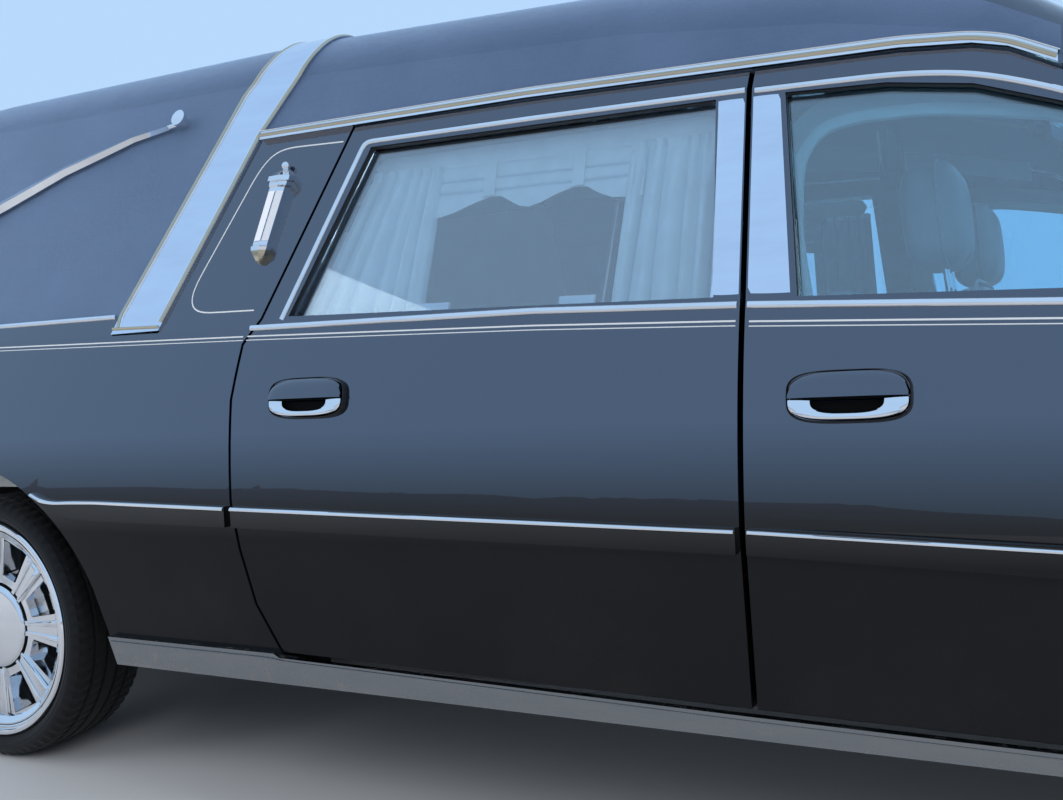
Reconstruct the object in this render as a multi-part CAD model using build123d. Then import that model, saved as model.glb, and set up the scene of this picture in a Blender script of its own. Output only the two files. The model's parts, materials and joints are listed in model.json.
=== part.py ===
from build123d import *
import math
import os

os.makedirs("parts", exist_ok=True)

# Frame in mm: +X forward, +Y to the left, +Z up, ground at Z 0, mid length at X 0.

# Wheels
TYRE_R = 335.0
TYRE_HALF = 112.0
FRONT_AXLE_X = 2122.0
REAR_AXLE_X = -1538.0
FRONT_WHEEL_Y = 790.0
REAR_WHEEL_Y = 785.0
KINGPIN_Y = 656.0
STUB_R = 30.0
SIDEWALL = 59.0
LIP_R = TYRE_R - SIDEWALL
BARREL_R = LIP_R - 26.0
SPOKE_R = BARREL_R - 16.0
CAP_R = 104.0
SPOKES = 8
FLOOR_Z = 300.0

# Length
NOSE_X = 3200.0
TAIL_X = -3200.0
REAR_WALL_X = -3120.0
COWL_X = 1605.0

# Doors
B_GAP_X = 475.0
GAP = 7.0
DOOR_WALL = 110.0
FRAME_WALL = 45.0
DOOR_HINGE_Y = 922.0
FRONT_HINGE_X = 1516.0
REAR_HINGE_X = 390.0
HINGE_PIN_R = 6.0
HINGE_LEVELS = (560.0, 690.0)

# Lower body: half widths w and heights z at each station x
# columns: x, z sill, w sill, z widest, w widest, z belt, w belt
LOWER = [
    (-3120, 446, 812, 700, 858, 1072, 814),
    (-3102, 434, 836, 700, 881, 1072, 836),
    (-3060, 416, 853, 699, 896, 1072, 850),
    (-2700, 330, 900, 690, 935, 1070, 878),
    (-1700, 295, 915, 680, 945, 1062, 885),
    (-600, 295, 915, 665, 945, 1045, 885),
    (600, 295, 915, 648, 945, 1005, 888),
    (1605, 295, 915, 646, 945, 950, 882),
]
# Front clip: columns as above, then z of the hood's centre
NOSE = [
    (1605, 295, 915, 646, 945, 950, 882, 976),
    (2122, 295, 905, 640, 940, 915, 868, 980),
    (2450, 293, 888, 632, 926, 890, 845, 962),
    (2700, 290, 860, 620, 905, 865, 815, 935),
    (2900, 290, 828, 610, 878, 842, 782, 902),
    (3130, 290, 780, 598, 840, 805, 735, 850),
]
# Roof: columns: x, z side top, w side top, z crown edge, w crown edge, z crown
ROOF = [
    (-3120, 1566, 634, 1654, 522, 1678),
    (-3102, 1584, 652, 1678, 538, 1702),
    (-3060, 1595, 662, 1692, 545, 1717),
    (-2750, 1632, 670, 1734, 545, 1760),
    (-1700, 1652, 668, 1750, 545, 1778),
    (-600, 1622, 680, 1726, 550, 1754),
    (200, 1560, 700, 1674, 565, 1708),
    (600, 1500, 720, 1618, 590, 1660),
    (860, 1435, 742, 1550, 615, 1596),
    (1605, 962, 870, 984, 810, 1022),
]


def row_at(table, x):
    """Linear row of a station table at x."""
    for low, high in zip(table, table[1:]):
        if low[0] <= x <= high[0]:
            t = (x - low[0]) / (high[0] - low[0])
            return tuple(a + (b - a) * t for a, b in zip(low, high))
    raise ValueError(x)


def line(p, q):
    return Edge.make_line(p, q)


def arc(p, m, q):
    return Edge.make_three_point_arc(p, m, q)


def bulged(x, a, b, bulge):
    """Arc from a to b in the plane at x, bulging outward and up by a share of its chord."""
    dy, dz = b[0] - a[0], b[1] - a[1]
    ny, nz = dz * bulge, -dy * bulge
    if a[0] + b[0] < 0:
        ny, nz = -ny, -nz
    if nz < 0 and abs(nz) > abs(ny):
        ny, nz = -ny, -nz
    mid = (x, (a[0] + b[0]) / 2 + ny, (a[1] + b[1]) / 2 + nz)
    return arc((x, a[0], a[1]), mid, (x, b[0], b[1]))


def lower_wire(row, inset=0.0, drop=0.0, lift=0.0):
    x, z0, w0, z1, w1, z2, w2 = row[:7]
    z3 = row[7] if len(row) > 7 else None
    w0, w1, w2 = w0 - inset, w1 - inset, w2 - inset
    z0, z2 = z0 - drop, z2 + lift
    edges = [
        line((x, -w0, z0), (x, w0, z0)),
        line((x, w0, z0), (x, w1, z1)),
        bulged(x, (w1, z1), (w2, z2), 0.03),
    ]
    if z3 is None:
        edges.append(line((x, w2, z2), (x, -w2, z2)))
    else:
        edges.append(arc((x, w2, z2), (x, 0, z3 + lift), (x, -w2, z2)))
    edges += [
        bulged(x, (-w2, z2), (-w1, z1), -0.03),
        line((x, -w1, z1), (x, -w0, z0)),
    ]
    return Wire(edges)


def lower_solid(inset=0.0, drop=0.0, lift=0.0, x0=-3120, x1=1605):
    xs = [x0] + [r[0] for r in LOWER if x0 < r[0] < x1] + [x1]
    wires = [lower_wire(row_at(LOWER, x), inset, drop, lift) for x in xs]
    return Solid.make_loft(wires, ruled=True)


def nose_plan(inset):
    """Upright block whose front follows the nose's plan: a broad arc between two rounded corners."""
    side, corner, front = (2800, 897 - inset), (2980 - inset * 0.68, 814 - inset * 0.73), (3075 - inset, 640)
    p = [(x, y, 0) for x, y in (side, corner, front)]
    q = [(x, -y, 0) for x, y in (side, corner, front)]
    wire = Wire([
        line((1500, -1100, 0), (2800, -1100, 0)),
        line((2800, -1100, 0), q[0]),
        arc(q[0], q[1], q[2]),
        arc(q[2], (3112 - inset, 0, 0), p[2]),
        arc(p[2], p[1], p[0]),
        line(p[0], (2800, 1100, 0)),
        line((2800, 1100, 0), (1500, 1100, 0)),
        line((1500, 1100, 0), (1500, -1100, 0)),
    ])
    return Solid.extrude(Face(wire), Vector(0, 0, 1300))


def nose_solid(inset=0.0, drop=0.0, lift=0.0, front=0.0):
    """Front clip, moved inward by inset at its sides and by front at its nose."""
    wires = [lower_wire(row, inset, drop, lift) for row in NOSE]
    return Solid.make_loft(wires, ruled=True) & nose_plan(front)


def roof_wire(x, inset=0.0, flat=False):
    _, zt, wt, zs, ws, zc = row_at(ROOF, x)
    belt = row_at(LOWER, x)
    zb, wb = belt[5], belt[6]
    if inset > 0:
        zb -= 20
        zt = zt - inset * 0.3
        zs = max(zs - inset, zt + 4)
        zc = max(zc - inset, zs + 4)
    else:
        zs -= inset
        zc -= inset
    wb, wt = wb - inset, wt - inset
    ws -= inset * 0.6
    if flat:
        corners = [(wb, zb), (wt, zt), (ws, zs), (0, zc), (-ws, zs), (-wt, zt), (-wb, zb)]
        return Wire.make_polygon([(x, y, z) for y, z in corners], close=True)
    edges = [
        line((x, -wb, zb), (x, wb, zb)),
        line((x, wb, zb), (x, wt, zt)),
        bulged(x, (wt, zt), (ws, zs), 0.2),
        arc((x, ws, zs), (x, 0, zc), (x, -ws, zs)),
        bulged(x, (-ws, zs), (-wt, zt), -0.2),
        line((x, -wt, zt), (x, -wb, zb)),
    ]
    return Wire(edges)


def roof_solid(inset=0.0, x0=-3120, x1=1605, flat=False):
    xs = [x0] + [r[0] for r in ROOF if x0 < r[0] < x1] + [x1]
    return Solid.make_loft([roof_wire(x, inset, flat) for x in xs], ruled=True)


def prism_xz(points, y0, y1):
    """Side outline as (x, z) points, from y0 to y1."""
    wire = Wire.make_polygon([(x, y0, z) for x, z in points], close=True)
    return Solid.extrude(Face(wire), Vector(0, y1 - y0, 0))


def prism_xy(points, z0, z1):
    """Plan outline as (x, y) points, from z0 to z1."""
    wire = Wire.make_polygon([(x, y, z0) for x, y in points], close=True)
    return Solid.extrude(Face(wire), Vector(0, 0, z1 - z0))


def prism_yz(points, x0, x1):
    """Cross outline as (y, z) points, from x0 to x1."""
    wire = Wire.make_polygon([(x0, y, z) for y, z in points], close=True)
    return Solid.extrude(Face(wire), Vector(x1 - x0, 0, 0))


def grown(points, by):
    """A side outline moved outward by a distance, its corners kept sharp."""
    count = len(points)
    area = sum(points[i][0] * points[(i + 1) % count][1] - points[(i + 1) % count][0] * points[i][1]
               for i in range(count))
    sign = 1 if area > 0 else -1
    moved = []
    for i in range(count):
        (ax, az), (bx, bz), (cx, cz) = points[i - 1], points[i], points[(i + 1) % count]
        la, lb = math.hypot(bx - ax, bz - az), math.hypot(cx - bx, cz - bz)
        na = ((bz - az) / la * sign, -(bx - ax) / la * sign)
        nb = ((cz - bz) / lb * sign, -(cx - bx) / lb * sign)
        dot = 1 + na[0] * nb[0] + na[1] * nb[1]
        moved.append((bx + (na[0] + nb[0]) * by / dot, bz + (na[1] + nb[1]) * by / dot))
    return moved


def box(x0, x1, y0, y1, z0, z1):
    return Solid.make_box(x1 - x0, y1 - y0, z1 - z0).moved(Location((x0, y0, z0)))


def rod_y(x, z, r, y0, y1):
    return Solid.make_cylinder(r, y1 - y0, Plane(origin=(x, y0, z), z_dir=(0, 1, 0)))


def rod(p, q, r):
    d = Vector(*q) - Vector(*p)
    return Solid.make_cylinder(r, d.length, Plane(origin=p, z_dir=d))


def mirrored(shape):
    return shape.mirror(Plane.XZ)


def solids(shape):
    if isinstance(shape, (list, tuple, ShapeList)):
        out = []
        for item in shape:
            out += solids(item)
        return out
    return [s for s in shape.solids() if s.volume > 500]


def save(name, *shapes):
    parts = solids(list(shapes))
    body = parts[0] if len(parts) == 1 else Compound(children=[Solid(p.wrapped) for p in parts])
    export_step(body, f"parts/{name}.step")
    print(name, len(parts), round(sum(p.volume for p in parts) / 1e9, 5))


# Side outlines, as (x, z)
DRIP = [(-676, 1498), (15, 1481), (434, 1461), (720, 1447), (833, 1433), (887, 1417), (957, 1378)]
REAR_DOOR = [
    (B_GAP_X - 5, 342), (B_GAP_X - 5, 1020), (460, 1401), (464, 1434), (15, 1455), (-414, 1468),
    (-577, 1059), (-619, 1008), (-637, 892), (-632, 682), (-620, 576), (-592, 460), (-534, 359),
]
FRONT_DOOR = [
    (B_GAP_X + 5, 342), (B_GAP_X + 5, 1020), (470, 1401), (474, 1434), (720, 1421), (833, 1407),
    (887, 1391), (957, 1350), (1560, 986), (1590, 940), (1596, 700), (1582, 450), (1556, 330),
]
REAR_WINDOW = [(-507, 1062), (-362, 1416), (404, 1392), (423, 1031)]
FRONT_WINDOW = [(566, 1022), (530, 1384), (700, 1372), (835, 1346), (960, 1296), (1420, 1014), (1430, 984)]
BAND = [(-1040, 1030), (-1016, 1093), (-765, 1597), (-677, 1704), (-600, 1830), (-470, 1830),
        (-557, 1675), (-679, 1493), (-890, 1030)]
VINYL_FOOT_Z = 1093.0
# Wheel openings by axle, columns: rise over the axle, half width at the shoulder, shoulder, half foot
ARCHES = {
    REAR_AXLE_X: (423.0, 443.0, 130.0, 520.0),
    FRONT_AXLE_X: (412.0, 408.0, 40.0, 424.0),
}


def arch(x, y0, y1, grow=0.0):
    """Wheel opening: an arc over the tyre, then straight flanks that flare to the sill."""
    rise, half, shoulder, foot = ARCHES[x]
    c = TYRE_R
    left = (x - half - grow, y0, c + shoulder)
    right = (x + half + grow, y0, c + shoulder)
    foot_l = (x - foot - grow, y0, 240)
    foot_r = (x + foot + grow, y0, 240)
    wire = Wire([
        arc(left, (x, y0, c + rise + grow), right),
        line(right, foot_r),
        line(foot_r, foot_l),
        line(foot_l, left),
    ])
    return Solid.extrude(Face(wire), Vector(0, y1 - y0, 0))


def both_arches(x, y0, y1, grow=0.0):
    a = arch(x, y0, y1, grow)
    return [a, mirrored(a)]


# Body shells
lower_outer = lower_solid()
lower_shell = lower_outer - lower_solid(DOOR_WALL, 60, 30, -3060, 1605)
roof_outer = roof_solid()
roof_shell = roof_outer - roof_solid(FRAME_WALL, -3060, 1605, True)

left_side = box(-3300, 3300, 0.5, 1300, 0, 1900)
rear_cut = prism_xz(grown(REAR_DOOR, GAP), 500, 1100)
front_cut = prism_xz(grown(FRONT_DOOR, GAP + 2), 500, 1100)
rear_window = prism_xz(REAR_WINDOW, 500, 1100)
front_window = prism_xz(FRONT_WINDOW, 500, 1100)

# Doors, left side first
rear_body = prism_xz(REAR_DOOR, 500, 1100)
front_body = prism_xz(FRONT_DOOR, 500, 1100)
rear_door = (lower_shell & rear_body) + (roof_shell & rear_body) - rear_window
front_door = (lower_shell & front_body) + (roof_shell & front_body) - front_window

# The upper frames are stepped back inside their skins, so that they swing clear
skin_core = roof_solid(8)
rear_step = prism_xz([(-414, 1480), (-577, 1059), (-561, 1059), (-398, 1480)], 500, 1100)
front_step = prism_xz([(479, 1010), (469, 1401), (473, 1440), (487, 1440), (483, 1401), (493, 1010)], 500, 1100)
rear_door = rear_door - (skin_core & rear_step)
front_door = front_door - (skin_core & front_step)

glass_skin = roof_solid(14) - roof_solid(19)
rear_glass = glass_skin & prism_xz(grown(REAR_WINDOW, -0.5), 500, 1100)
front_glass = glass_skin & prism_xz(grown(FRONT_WINDOW, -0.5), 500, 1100)

# Door handles: an oblong escutcheon with a recess below the flap
HANDLES = [
    # x, z, length, height
    (649, 857, 190, 80),
    (-431, 889, 190, 80),
]


def side_y(x, z):
    """Half width of the body side at a place."""
    r = row_at(LOWER, x)
    z1, w1, z2, w2 = r[3], r[4], r[5], r[6]
    t = (z - z1) / (z2 - z1)
    return w1 + (w2 - w1) * t


def handle(x, z, length, height):
    """Flap and bezel with its recess."""
    y = side_y(x, z)
    plate = box(x - length / 2, x + length / 2, y - 12, y + 14, z - height / 2, z + height / 2)
    plate = plate.fillet(34, [e for e in plate.edges() if abs(e.tangent_at(0).Y) > 0.9])
    recess = box(x - length * 0.3, x + length * 0.3, y - 1, y + 30, z - height * 0.36, z - 2)
    return plate - recess


front_door = front_door + handle(*HANDLES[0])
rear_door = rear_door + handle(*HANDLES[1])

# Door mirror: a foot on the door and a rounded head
mirror_foot = box(1310, 1400, 862, 935, 985, 1015)
mirror_head = box(1300, 1420, 925, 1080, 975, 1115)
mirror_head = mirror_head.fillet(28, mirror_head.edges())
front_door = front_door + mirror_foot + mirror_head

# Drapes inside each rear door window: two gathered panels under one valance
DRAPE = [(-508, 1052), (-384, 1425), (408, 1404), (432, 1028), (236, 1036), (256, 1290), (180, 1322),
         (40, 1318), (-80, 1326), (-170, 1305), (-170, 1046)]
drape = (roof_solid(FRAME_WALL + 0.3) - roof_solid(66)) & prism_xz(DRAPE, 500, 1100)

# Loading door in the rear wall
LOAD_DOOR = [(-540, 650), (540, 650), (540, 1080), (478, 1560), (430, 1610), (-430, 1610), (-478, 1560), (-540, 1080)]
LOAD_WINDOW = [(-450, 1120), (450, 1120), (405, 1480), (-405, 1480)]
load_body = prism_yz(LOAD_DOOR, -3300, -2950)
load_cut = prism_yz(grown(LOAD_DOOR, 9), -3300, -2950)
LOAD_PIN = (-3130.0, 549.0)
load_window = prism_yz(LOAD_WINDOW, -3300, -2950)
load_door = ((lower_shell & load_body) + (roof_shell & load_body)) - load_window
load_handle = box(-3140, -3118, -470, -370, 900, 940)
load_door = load_door + load_handle
lx, ly = LOAD_PIN
load_hinges = []
for z in (740.0, 1010.0):
    leaf = box(lx + 2, -3119, 480, 530, z - 34, z + 34) + box(lx + 2, -3119, 528, ly, z - 12, z + 12)
    leaf = leaf + rod((lx, ly, z - 12), (lx, ly, z + 12), 10)
    load_door = (load_door + leaf) - rod((lx, ly, z - 13), (lx, ly, z + 13), 5.3)
    fixed = box(lx + 2, -3119, 564, 612, z - 34, z + 34)
    for low in (z - 34, z + 14):
        fixed = fixed + box(lx + 2, -3119, ly, 566, low, low + 20) + rod((lx, ly, low), (lx, ly, low + 20), 10)
    load_hinges.append(fixed + rod((lx, ly, z - 34), (lx, ly, z + 34), 5))
load_glass = prism_yz(grown(LOAD_WINDOW, -0.5), -3106, -3100)

# Tail lamps stand in the rear corners
lamp_zone = box(-3300, -3072, 640, 812, 720, 1040)
tail_cut = box(-3300, -3071.5, 639.5, 812.5, 719.5, 1040.5)
tail_lamp = lower_outer & lamp_zone

# Quarter panels with the rear wall
rear_part = box(-3300, B_GAP_X - 60, -1200, 1200, 0, 1900)
quarter = lower_shell & rear_part
quarter = quarter - rear_cut - mirrored(rear_cut)
quarter = quarter & box(-3300, -500, -1200, 1200, 0, 1900)
for cut in both_arches(REAR_AXLE_X, 500, 1100):
    quarter = quarter - cut
quarter = quarter - load_cut - tail_cut - mirrored(tail_cut)

# Upper body behind the front header, split at the drip line, the band and the vinyl's foot
panel_zone = prism_xz([(-890, 1030), (-679, 1489), (-420, 1489), (-420, 1030)], -1100, 1100)
foot_zone = box(-3300, -880, -1100, 1100, 1000, VINYL_FOOT_Z)
band_zone = prism_xz(BAND, -1100, 1100)
upper = roof_shell - rear_cut - mirrored(rear_cut) - front_cut - mirrored(front_cut)
upper = upper - load_cut
band = (roof_solid(-5) - roof_solid(28)) & band_zone
band = band & box(-1200, -300, -1100, 1100, 1055, 1900)
upper = upper - band_zone
lamp_panel = upper & panel_zone
vinyl_foot = upper & foot_zone
quarter_upper = [s for s in solids(lamp_panel) + solids(vinyl_foot)]
for piece in quarter_upper + load_hinges:
    quarter = quarter + piece

# Vinyl roof above the drip line, as far as the header
header_zone = prism_xz([(838, 1900), (838, 1494), (962, 1421), (962, 1300), (962, 900), (1700, 900),
                        (1700, 1900)], -1100, 1100)
roof = upper - panel_zone - foot_zone - header_zone
roof = [s for s in solids(roof) if s.bounding_box().max.Z > 1600]

# Front header and pillars
cabin = upper & header_zone
windshield_hole = prism_xy([(1582, -772), (1582, 772), (900, 588), (900, -588)], 900, 1800)
cabin = cabin - windshield_hole
cabin = [s for s in solids(cabin) if s.volume > 20000]
windshield = (roof_solid(5) - roof_solid(11)) & prism_xy(
    [(1581.6, -771.6), (1581.6, 771.6), (900.4, 587.6), (900.4, -587.6)], 900, 1800)
windshield = [s for s in solids(windshield) if s.bounding_box().max.Z > 1400]

# Centre posts, inside the gap between the doors
post = prism_yz([(795, 332), (795, 650), (770, 1000), (768, 1060), (640, 1560), (590, 1560),
                 (705, 1060), (705, 980), (740, 640), (740, 332)], 446, 508) - roof_shell
post = solids(post)[0]
front_post = box(1520, 1576, 740, 793, 332, 760) + box(1530, 1576, 740, 766, 750, 896)


def hinge(x, z):
    """Fixed half of a door hinge: a strap from the post and its upright pin."""
    strap = prism_xy([(x - 8, 928), (x + 8, 928), (x + 12, 797), (x + 60, 797), (x + 60, 775), (x - 8, 775)],
                     z - 14, z + 14)
    return strap + rod((x, DOOR_HINGE_Y, z - 30), (x, DOOR_HINGE_Y, z + 30), HINGE_PIN_R)


def hinge_pocket(x, z):
    """What a door loses at one hinge: the strap's sweep and the pin's holes."""
    room = box(x - 14, x + 120, 700, 932, z - 20, z + 20)
    return room + rod((x, DOOR_HINGE_Y, z - 31), (x, DOOR_HINGE_Y, z + 31), HINGE_PIN_R + 0.3)


for z in HINGE_LEVELS:
    post = post + hinge(REAR_HINGE_X, z)
    front_post = front_post + hinge(FRONT_HINGE_X, z)
    rear_door = rear_door - hinge_pocket(REAR_HINGE_X, z)
    front_door = front_door - hinge_pocket(FRONT_HINGE_X, z)
posts = [post, mirrored(post), front_post, mirrored(front_post)]

# Front clip
nose_outer = nose_solid()
nose_shell = nose_outer - nose_solid(28, 60, -28, 38)


def hood_plan(grow):
    """The hood's outline from above, moved outward, as an upright block."""
    rear, side, corner = (1645 - grow, 775 + grow), (2350, 762 + grow), (2985 + grow * 0.85, 648 + grow * 0.87)
    p = [(x, y, 720) for x, y in (rear, side, corner)]
    q = [(x, -y, 720) for x, y in (rear, side, corner)]
    wire = Wire([
        line(p[0], q[0]),
        arc(q[0], q[1], q[2]),
        arc(q[2], (3056 + grow, 0, 720), p[2]),
        arc(p[2], p[1], p[0]),
    ])
    return Solid.extrude(Face(wire), Vector(0, 0, 380))


hood_zone = hood_plan(0)
hood_cut = hood_plan(GAP)
hood = nose_shell & hood_zone
hood = [s for s in solids(hood)][:1]



def bumper_wire(plan, z, grow):
    """Plan outline at a height: two sides, two rounded corners and a broad arc between them."""
    back, side, corner, front, tip = plan
    d = math.copysign(1, tip)
    half = [(back[0], back[1] + grow), (side[0], side[1] + grow),
            (corner[0] + d * grow * 0.66, corner[1] + grow * 0.75), (front[0] + d * grow, front[1])]
    p = [(x, y, z) for x, y in half]
    q = [(x, -y, z) for x, y in half]
    return Wire([line(q[0], p[0]), line(p[0], p[1]), arc(p[1], p[2], p[3]), arc(p[3], (tip + d * grow, 0, z), q[3]),
                 arc(q[3], q[2], q[1]), line(q[1], q[0])])


def bumper_block(plan, z0, z1, grow):
    """Straight block over a bumper's plan, for hollowing it."""
    back, side = (plan[0][0] - math.copysign(60, plan[4]), plan[0][1]), plan[1]
    return Solid.extrude(Face(bumper_wire((back, side, *plan[2:]), z0, grow)), Vector(0, 0, z1 - z0))


# Bumpers: plan as back, side, corner and front points and the tip's x, then rows of z and growth
FRONT_PLAN = ((2650, 926), (2810, 908), (3023, 819), (3147, 625), NOSE_X)
FRONT_ROWS = [(245, -44), (272, -14), (320, 0), (450, 0), (500, -3), (545, -12), (565, -30)]
REAR_PLAN = ((-2760, 930), (-3000, 912), (-3128, 855), (-3178, 730), TAIL_X + 3)
REAR_ROWS = [(352, -34), (378, -8), (410, 0), (548, 0), (578, -8), (592, -24)]
front_bumper = Solid.make_loft([bumper_wire(FRONT_PLAN, z, g) for z, g in FRONT_ROWS], ruled=True)
front_bumper = front_bumper - bumper_block(FRONT_PLAN, 200, 540, -62) - bumper_block(FRONT_PLAN, 530, 600, -136)
front_bumper = front_bumper - box(3060, 3300, -430, 430, 296, 388)
for y in (-215, 0, 215):
    front_bumper = front_bumper + box(3150, 3186, y - 8, y + 8, 290, 394)
bumper_zone = prism_xy([(2640, 1100), (3300, 1100), (3300, -1100), (2640, -1100)], 200, 565)

GRILLE = (-375, 375, 585, 775)
grille_hole = box(3040, 3300, GRILLE[0], GRILLE[1], GRILLE[2], GRILLE[3])
lamp_box = box(2850, 3300, 430, 1000, 600, 748)
lamp_hole = box(2849.5, 3300, 429.5, 1000, 599.5, 748.5)
headlamp = (nose_solid(3, 0, 0, 3) & lamp_box) - nose_solid(70, 0, 0, 70)

fenders = nose_shell & box(COWL_X, 3300, -1200, 1200, 0, 1200)
fenders = fenders - hood_cut - grille_hole - lamp_hole - mirrored(lamp_hole) - bumper_zone
for cut in both_arches(FRONT_AXLE_X, 500, 1100):
    fenders = fenders - cut
fenders = fenders - box(COWL_X - 5, 1640, -772, 772, 900, 1100)
fenders = [s for s in solids(fenders) if s.volume > 100000]

# Grille: a frame with upright bars and two rails
grille = (box(3050, 3140, -374.7, 374.7, 585.3, 774.7) & nose_plan(-14)) - box(3000, 3200, -352, 352, 606, 754)
bars_zone = nose_plan(-6) - nose_plan(22)
for i in range(17):
    y = -336 + i * 42
    grille = grille + (box(3050, 3140, y - 3.5, y + 3.5, 600, 760) & bars_zone)
for i in range(4):
    z = 635 + i * 30
    grille = grille + (box(3050, 3140, -358, 358, z - 3.5, z + 3.5) & bars_zone)

# Rear bumper
rear_bumper = Solid.make_loft([bumper_wire(REAR_PLAN, z, g) for z, g in REAR_ROWS], ruled=True)
rear_bumper = rear_bumper - lower_outer - bumper_block(REAR_PLAN, 300, 540, -46)
rear_bumper = rear_bumper + box(TAIL_X, -3148, -165, 165, 432, 545)
for y in (-88.9, 88.9):
    rear_bumper = rear_bumper - Solid.make_cylinder(4, 90, Plane(origin=(-3250, y, 500), z_dir=(1, 0, 0)))

# Cowl and firewall
cowl = prism_yz([(-770, 938), (-400, 962), (400, 962), (770, 938), (770, 918), (-770, 918)], 1606, 1631)
firewall = box(1590, 1640, -770, 770, 370, 900) + box(1590, 1631, -770, 770, 890, 919) + cowl
HOOD_PIN = (1735.0, 945.0)
px, pz = HOOD_PIN
for y in (582, 646):
    strap = prism_xz([(px - 8, pz + 8), (px + 8, pz + 8), (px + 8, 830), (1640, 830), (1640, 846), (px - 8, 846)],
                     y, y + 12)
    firewall = firewall + strap + mirrored(strap)
pin = rod_y(px, pz, 6, 582, 658)
firewall = firewall + pin + mirrored(pin)
for y in (580, 644):
    slot = box(px - 32, px + 14, y - 3, y + 15, 860, pz + 14)
    hood = [h - slot - mirrored(slot) for h in hood]
lug = box(px - 20, px + 20, 600, 640, 925, 952)
hood_one = hood[0] + lug + mirrored(lug)
hole = rod_y(px, pz, 6.3, 590, 650)
hood = hood_one - hole - mirrored(hole)

# Floor with sills, wheel houses and jacking pads
AX, RX, AZ = FRONT_AXLE_X, REAR_AXLE_X, TYRE_R
floor = box(-2640, 1585, -780, 780, 300, 332)
floor = floor - box(RX - 122, RX + 122, -545, 545, 200, 400)
hump = box(RX - 152, RX + 152, -546, 546, 300, AZ + 105) - box(RX - 122, RX + 122, -600, 600, 200, AZ + 75)
floor = floor + hump
floor = floor + box(-2660, -2610, -730, 730, 300, 470) + box(-3040, -2610, -730, 730, 440, 470)
for x, y0 in ((REAR_AXLE_X, 545), (FRONT_AXLE_X, 470)):
    for cut in both_arches(x, y0, 1100, 14):
        floor = floor - cut
for x, y0, y1 in ((REAR_AXLE_X, 545, 800), (FRONT_AXLE_X, 470, 850)):
    outer = arch(x, y0, y1, 14)
    inner = arch(x, y0 + 12, y1 + 5, 3)
    house = outer - inner - box(x - 700, x + 700, 0, 1100, 0, 300)
    if x > 0:
        house = house & nose_solid(32, 100, -60, 60)
    else:
        house = house - rod_y(x, TYRE_R, 60, 500, 600)
    floor = floor + house + mirrored(house)
floor = floor + box(1585, 3020, 330, 390, 300, 370) + mirrored(box(1585, 3020, 330, 390, 300, 370))
floor = floor + box(2960, 3020, -390, 390, 300, 370)
apron = box(1720, 2520, 380, 476, 330, 344)
pad = box(540, 660, 670, 730, 294, 302)
floor = floor + apron + mirrored(apron) + pad + mirrored(pad)
# Three panels that meet on flat faces
floor = [floor & box(x0, x1, -1000, 1000, 0, 900) for x0, x1 in ((-3300, -1000), (-1000, 1585), (1585, 3300))]

# Side brightwork: rockers, body-side mouldings on the fixed panels, roof drip mouldings
rocker = prism_xz([(-1020, 296), (-1046, 358), (-550, 358), (-534, 350), (478, 334), (1560, 322), (1580, 296)], 912, 936)
rocker = rocker - lower_outer
MOULD_OUT = 957.0
# columns: x, z top, z foot
MOULDING_TAIL = [(-1262, 690, 684), (-1225, 677, 664), (-1180, 673, 646), (-1120, 675, 633), (-1040, 676, 629), (-645, 668, 624)]
MOULDING_REAR = [(-627, 668, 624), (466, 649, 606)]
MOULDING_FRONT = [(484, 649, 606), (945, 633, 589), (1590, 611, 568)]
MOULDING_NOSE = [(1607, 611, 568), (1680, 608, 566), (1688, 600, 574)]


def moulding(rows, body):
    """Body-side moulding, raised off the side along a table of its two edges."""
    outline = [(x, top) for x, top, _ in rows] + [(x, foot) for x, _, foot in reversed(rows)]
    return solids(prism_xz(outline, 925, MOULD_OUT) - body)[-1]


tail_mould = [s for s in solids(prism_xz([(x, t) for x, t, _ in MOULDING_TAIL] + [(x, f) for x, _, f in reversed(MOULDING_TAIL)],
                                         925, MOULD_OUT) - lower_outer)]
nose_mould = solids(moulding(MOULDING_NOSE, nose_outer))
rear_door = rear_door + moulding(MOULDING_REAR, lower_outer - rear_door)
front_door = front_door + moulding(MOULDING_FRONT, lower_outer - front_door)
drip = (roof_solid(-14) - roof_outer) & prism_xz(
    [(x, z - 2) for x, z in DRIP] + [(x, z - 20) for x, z in reversed(DRIP)], 500, 1100)

# Landau bars: an S-shaped ridged bar that tapers from its middle boss to a knob at each end
LANDAU_MID = (-1640.0, 1400.0)
# columns from the middle forward: run, rise, half height
LANDAU = [(0, 0, 19), (105, 31, 18), (205, 62, 16.5), (308, 94, 14.5), (446, 124, 12), (541, 145, 9.5), (660, 157, 7)]
KNOB = (703.0, 160.0)


def roof_side_y(x, z):
    """Half width of the roof's flat side at a place."""
    _, zt, wt, _, _, _ = row_at(ROOF, x)
    b = row_at(LOWER, x)
    return b[6] + (wt - b[6]) * (z - b[5]) / (zt - b[5])


def stud(x, z, r, low, high):
    """Round stud square to the roof's side, between two distances off it."""
    slope = (roof_side_y(x, z - 10) - roof_side_y(x, z + 10)) / 20
    n = Vector(0, 1, slope).normalized()
    p = Vector(x, roof_side_y(x, z), z)
    return rod(tuple(p + n * low), tuple(p + n * high), r)


def bar_section(i, rows):
    """Ridged section of the landau bar at one row, square to its path."""
    x, z, half = rows[i]
    xa, za, _ = rows[max(i - 1, 0)]
    xb, zb, _ = rows[min(i + 1, len(rows) - 1)]
    run = math.hypot(xb - xa, zb - za)
    nx, nz = -(zb - za) / run, (xb - xa) / run
    pts = []
    for across, out in ((-half, 7), (-half, 12), (0, 24), (half, 12), (half, 7)):
        px_, pz_ = x + nx * across, z + nz * across
        pts.append((px_, roof_side_y(px_, pz_) + out, pz_))
    return Wire.make_polygon(pts, close=True)


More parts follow.
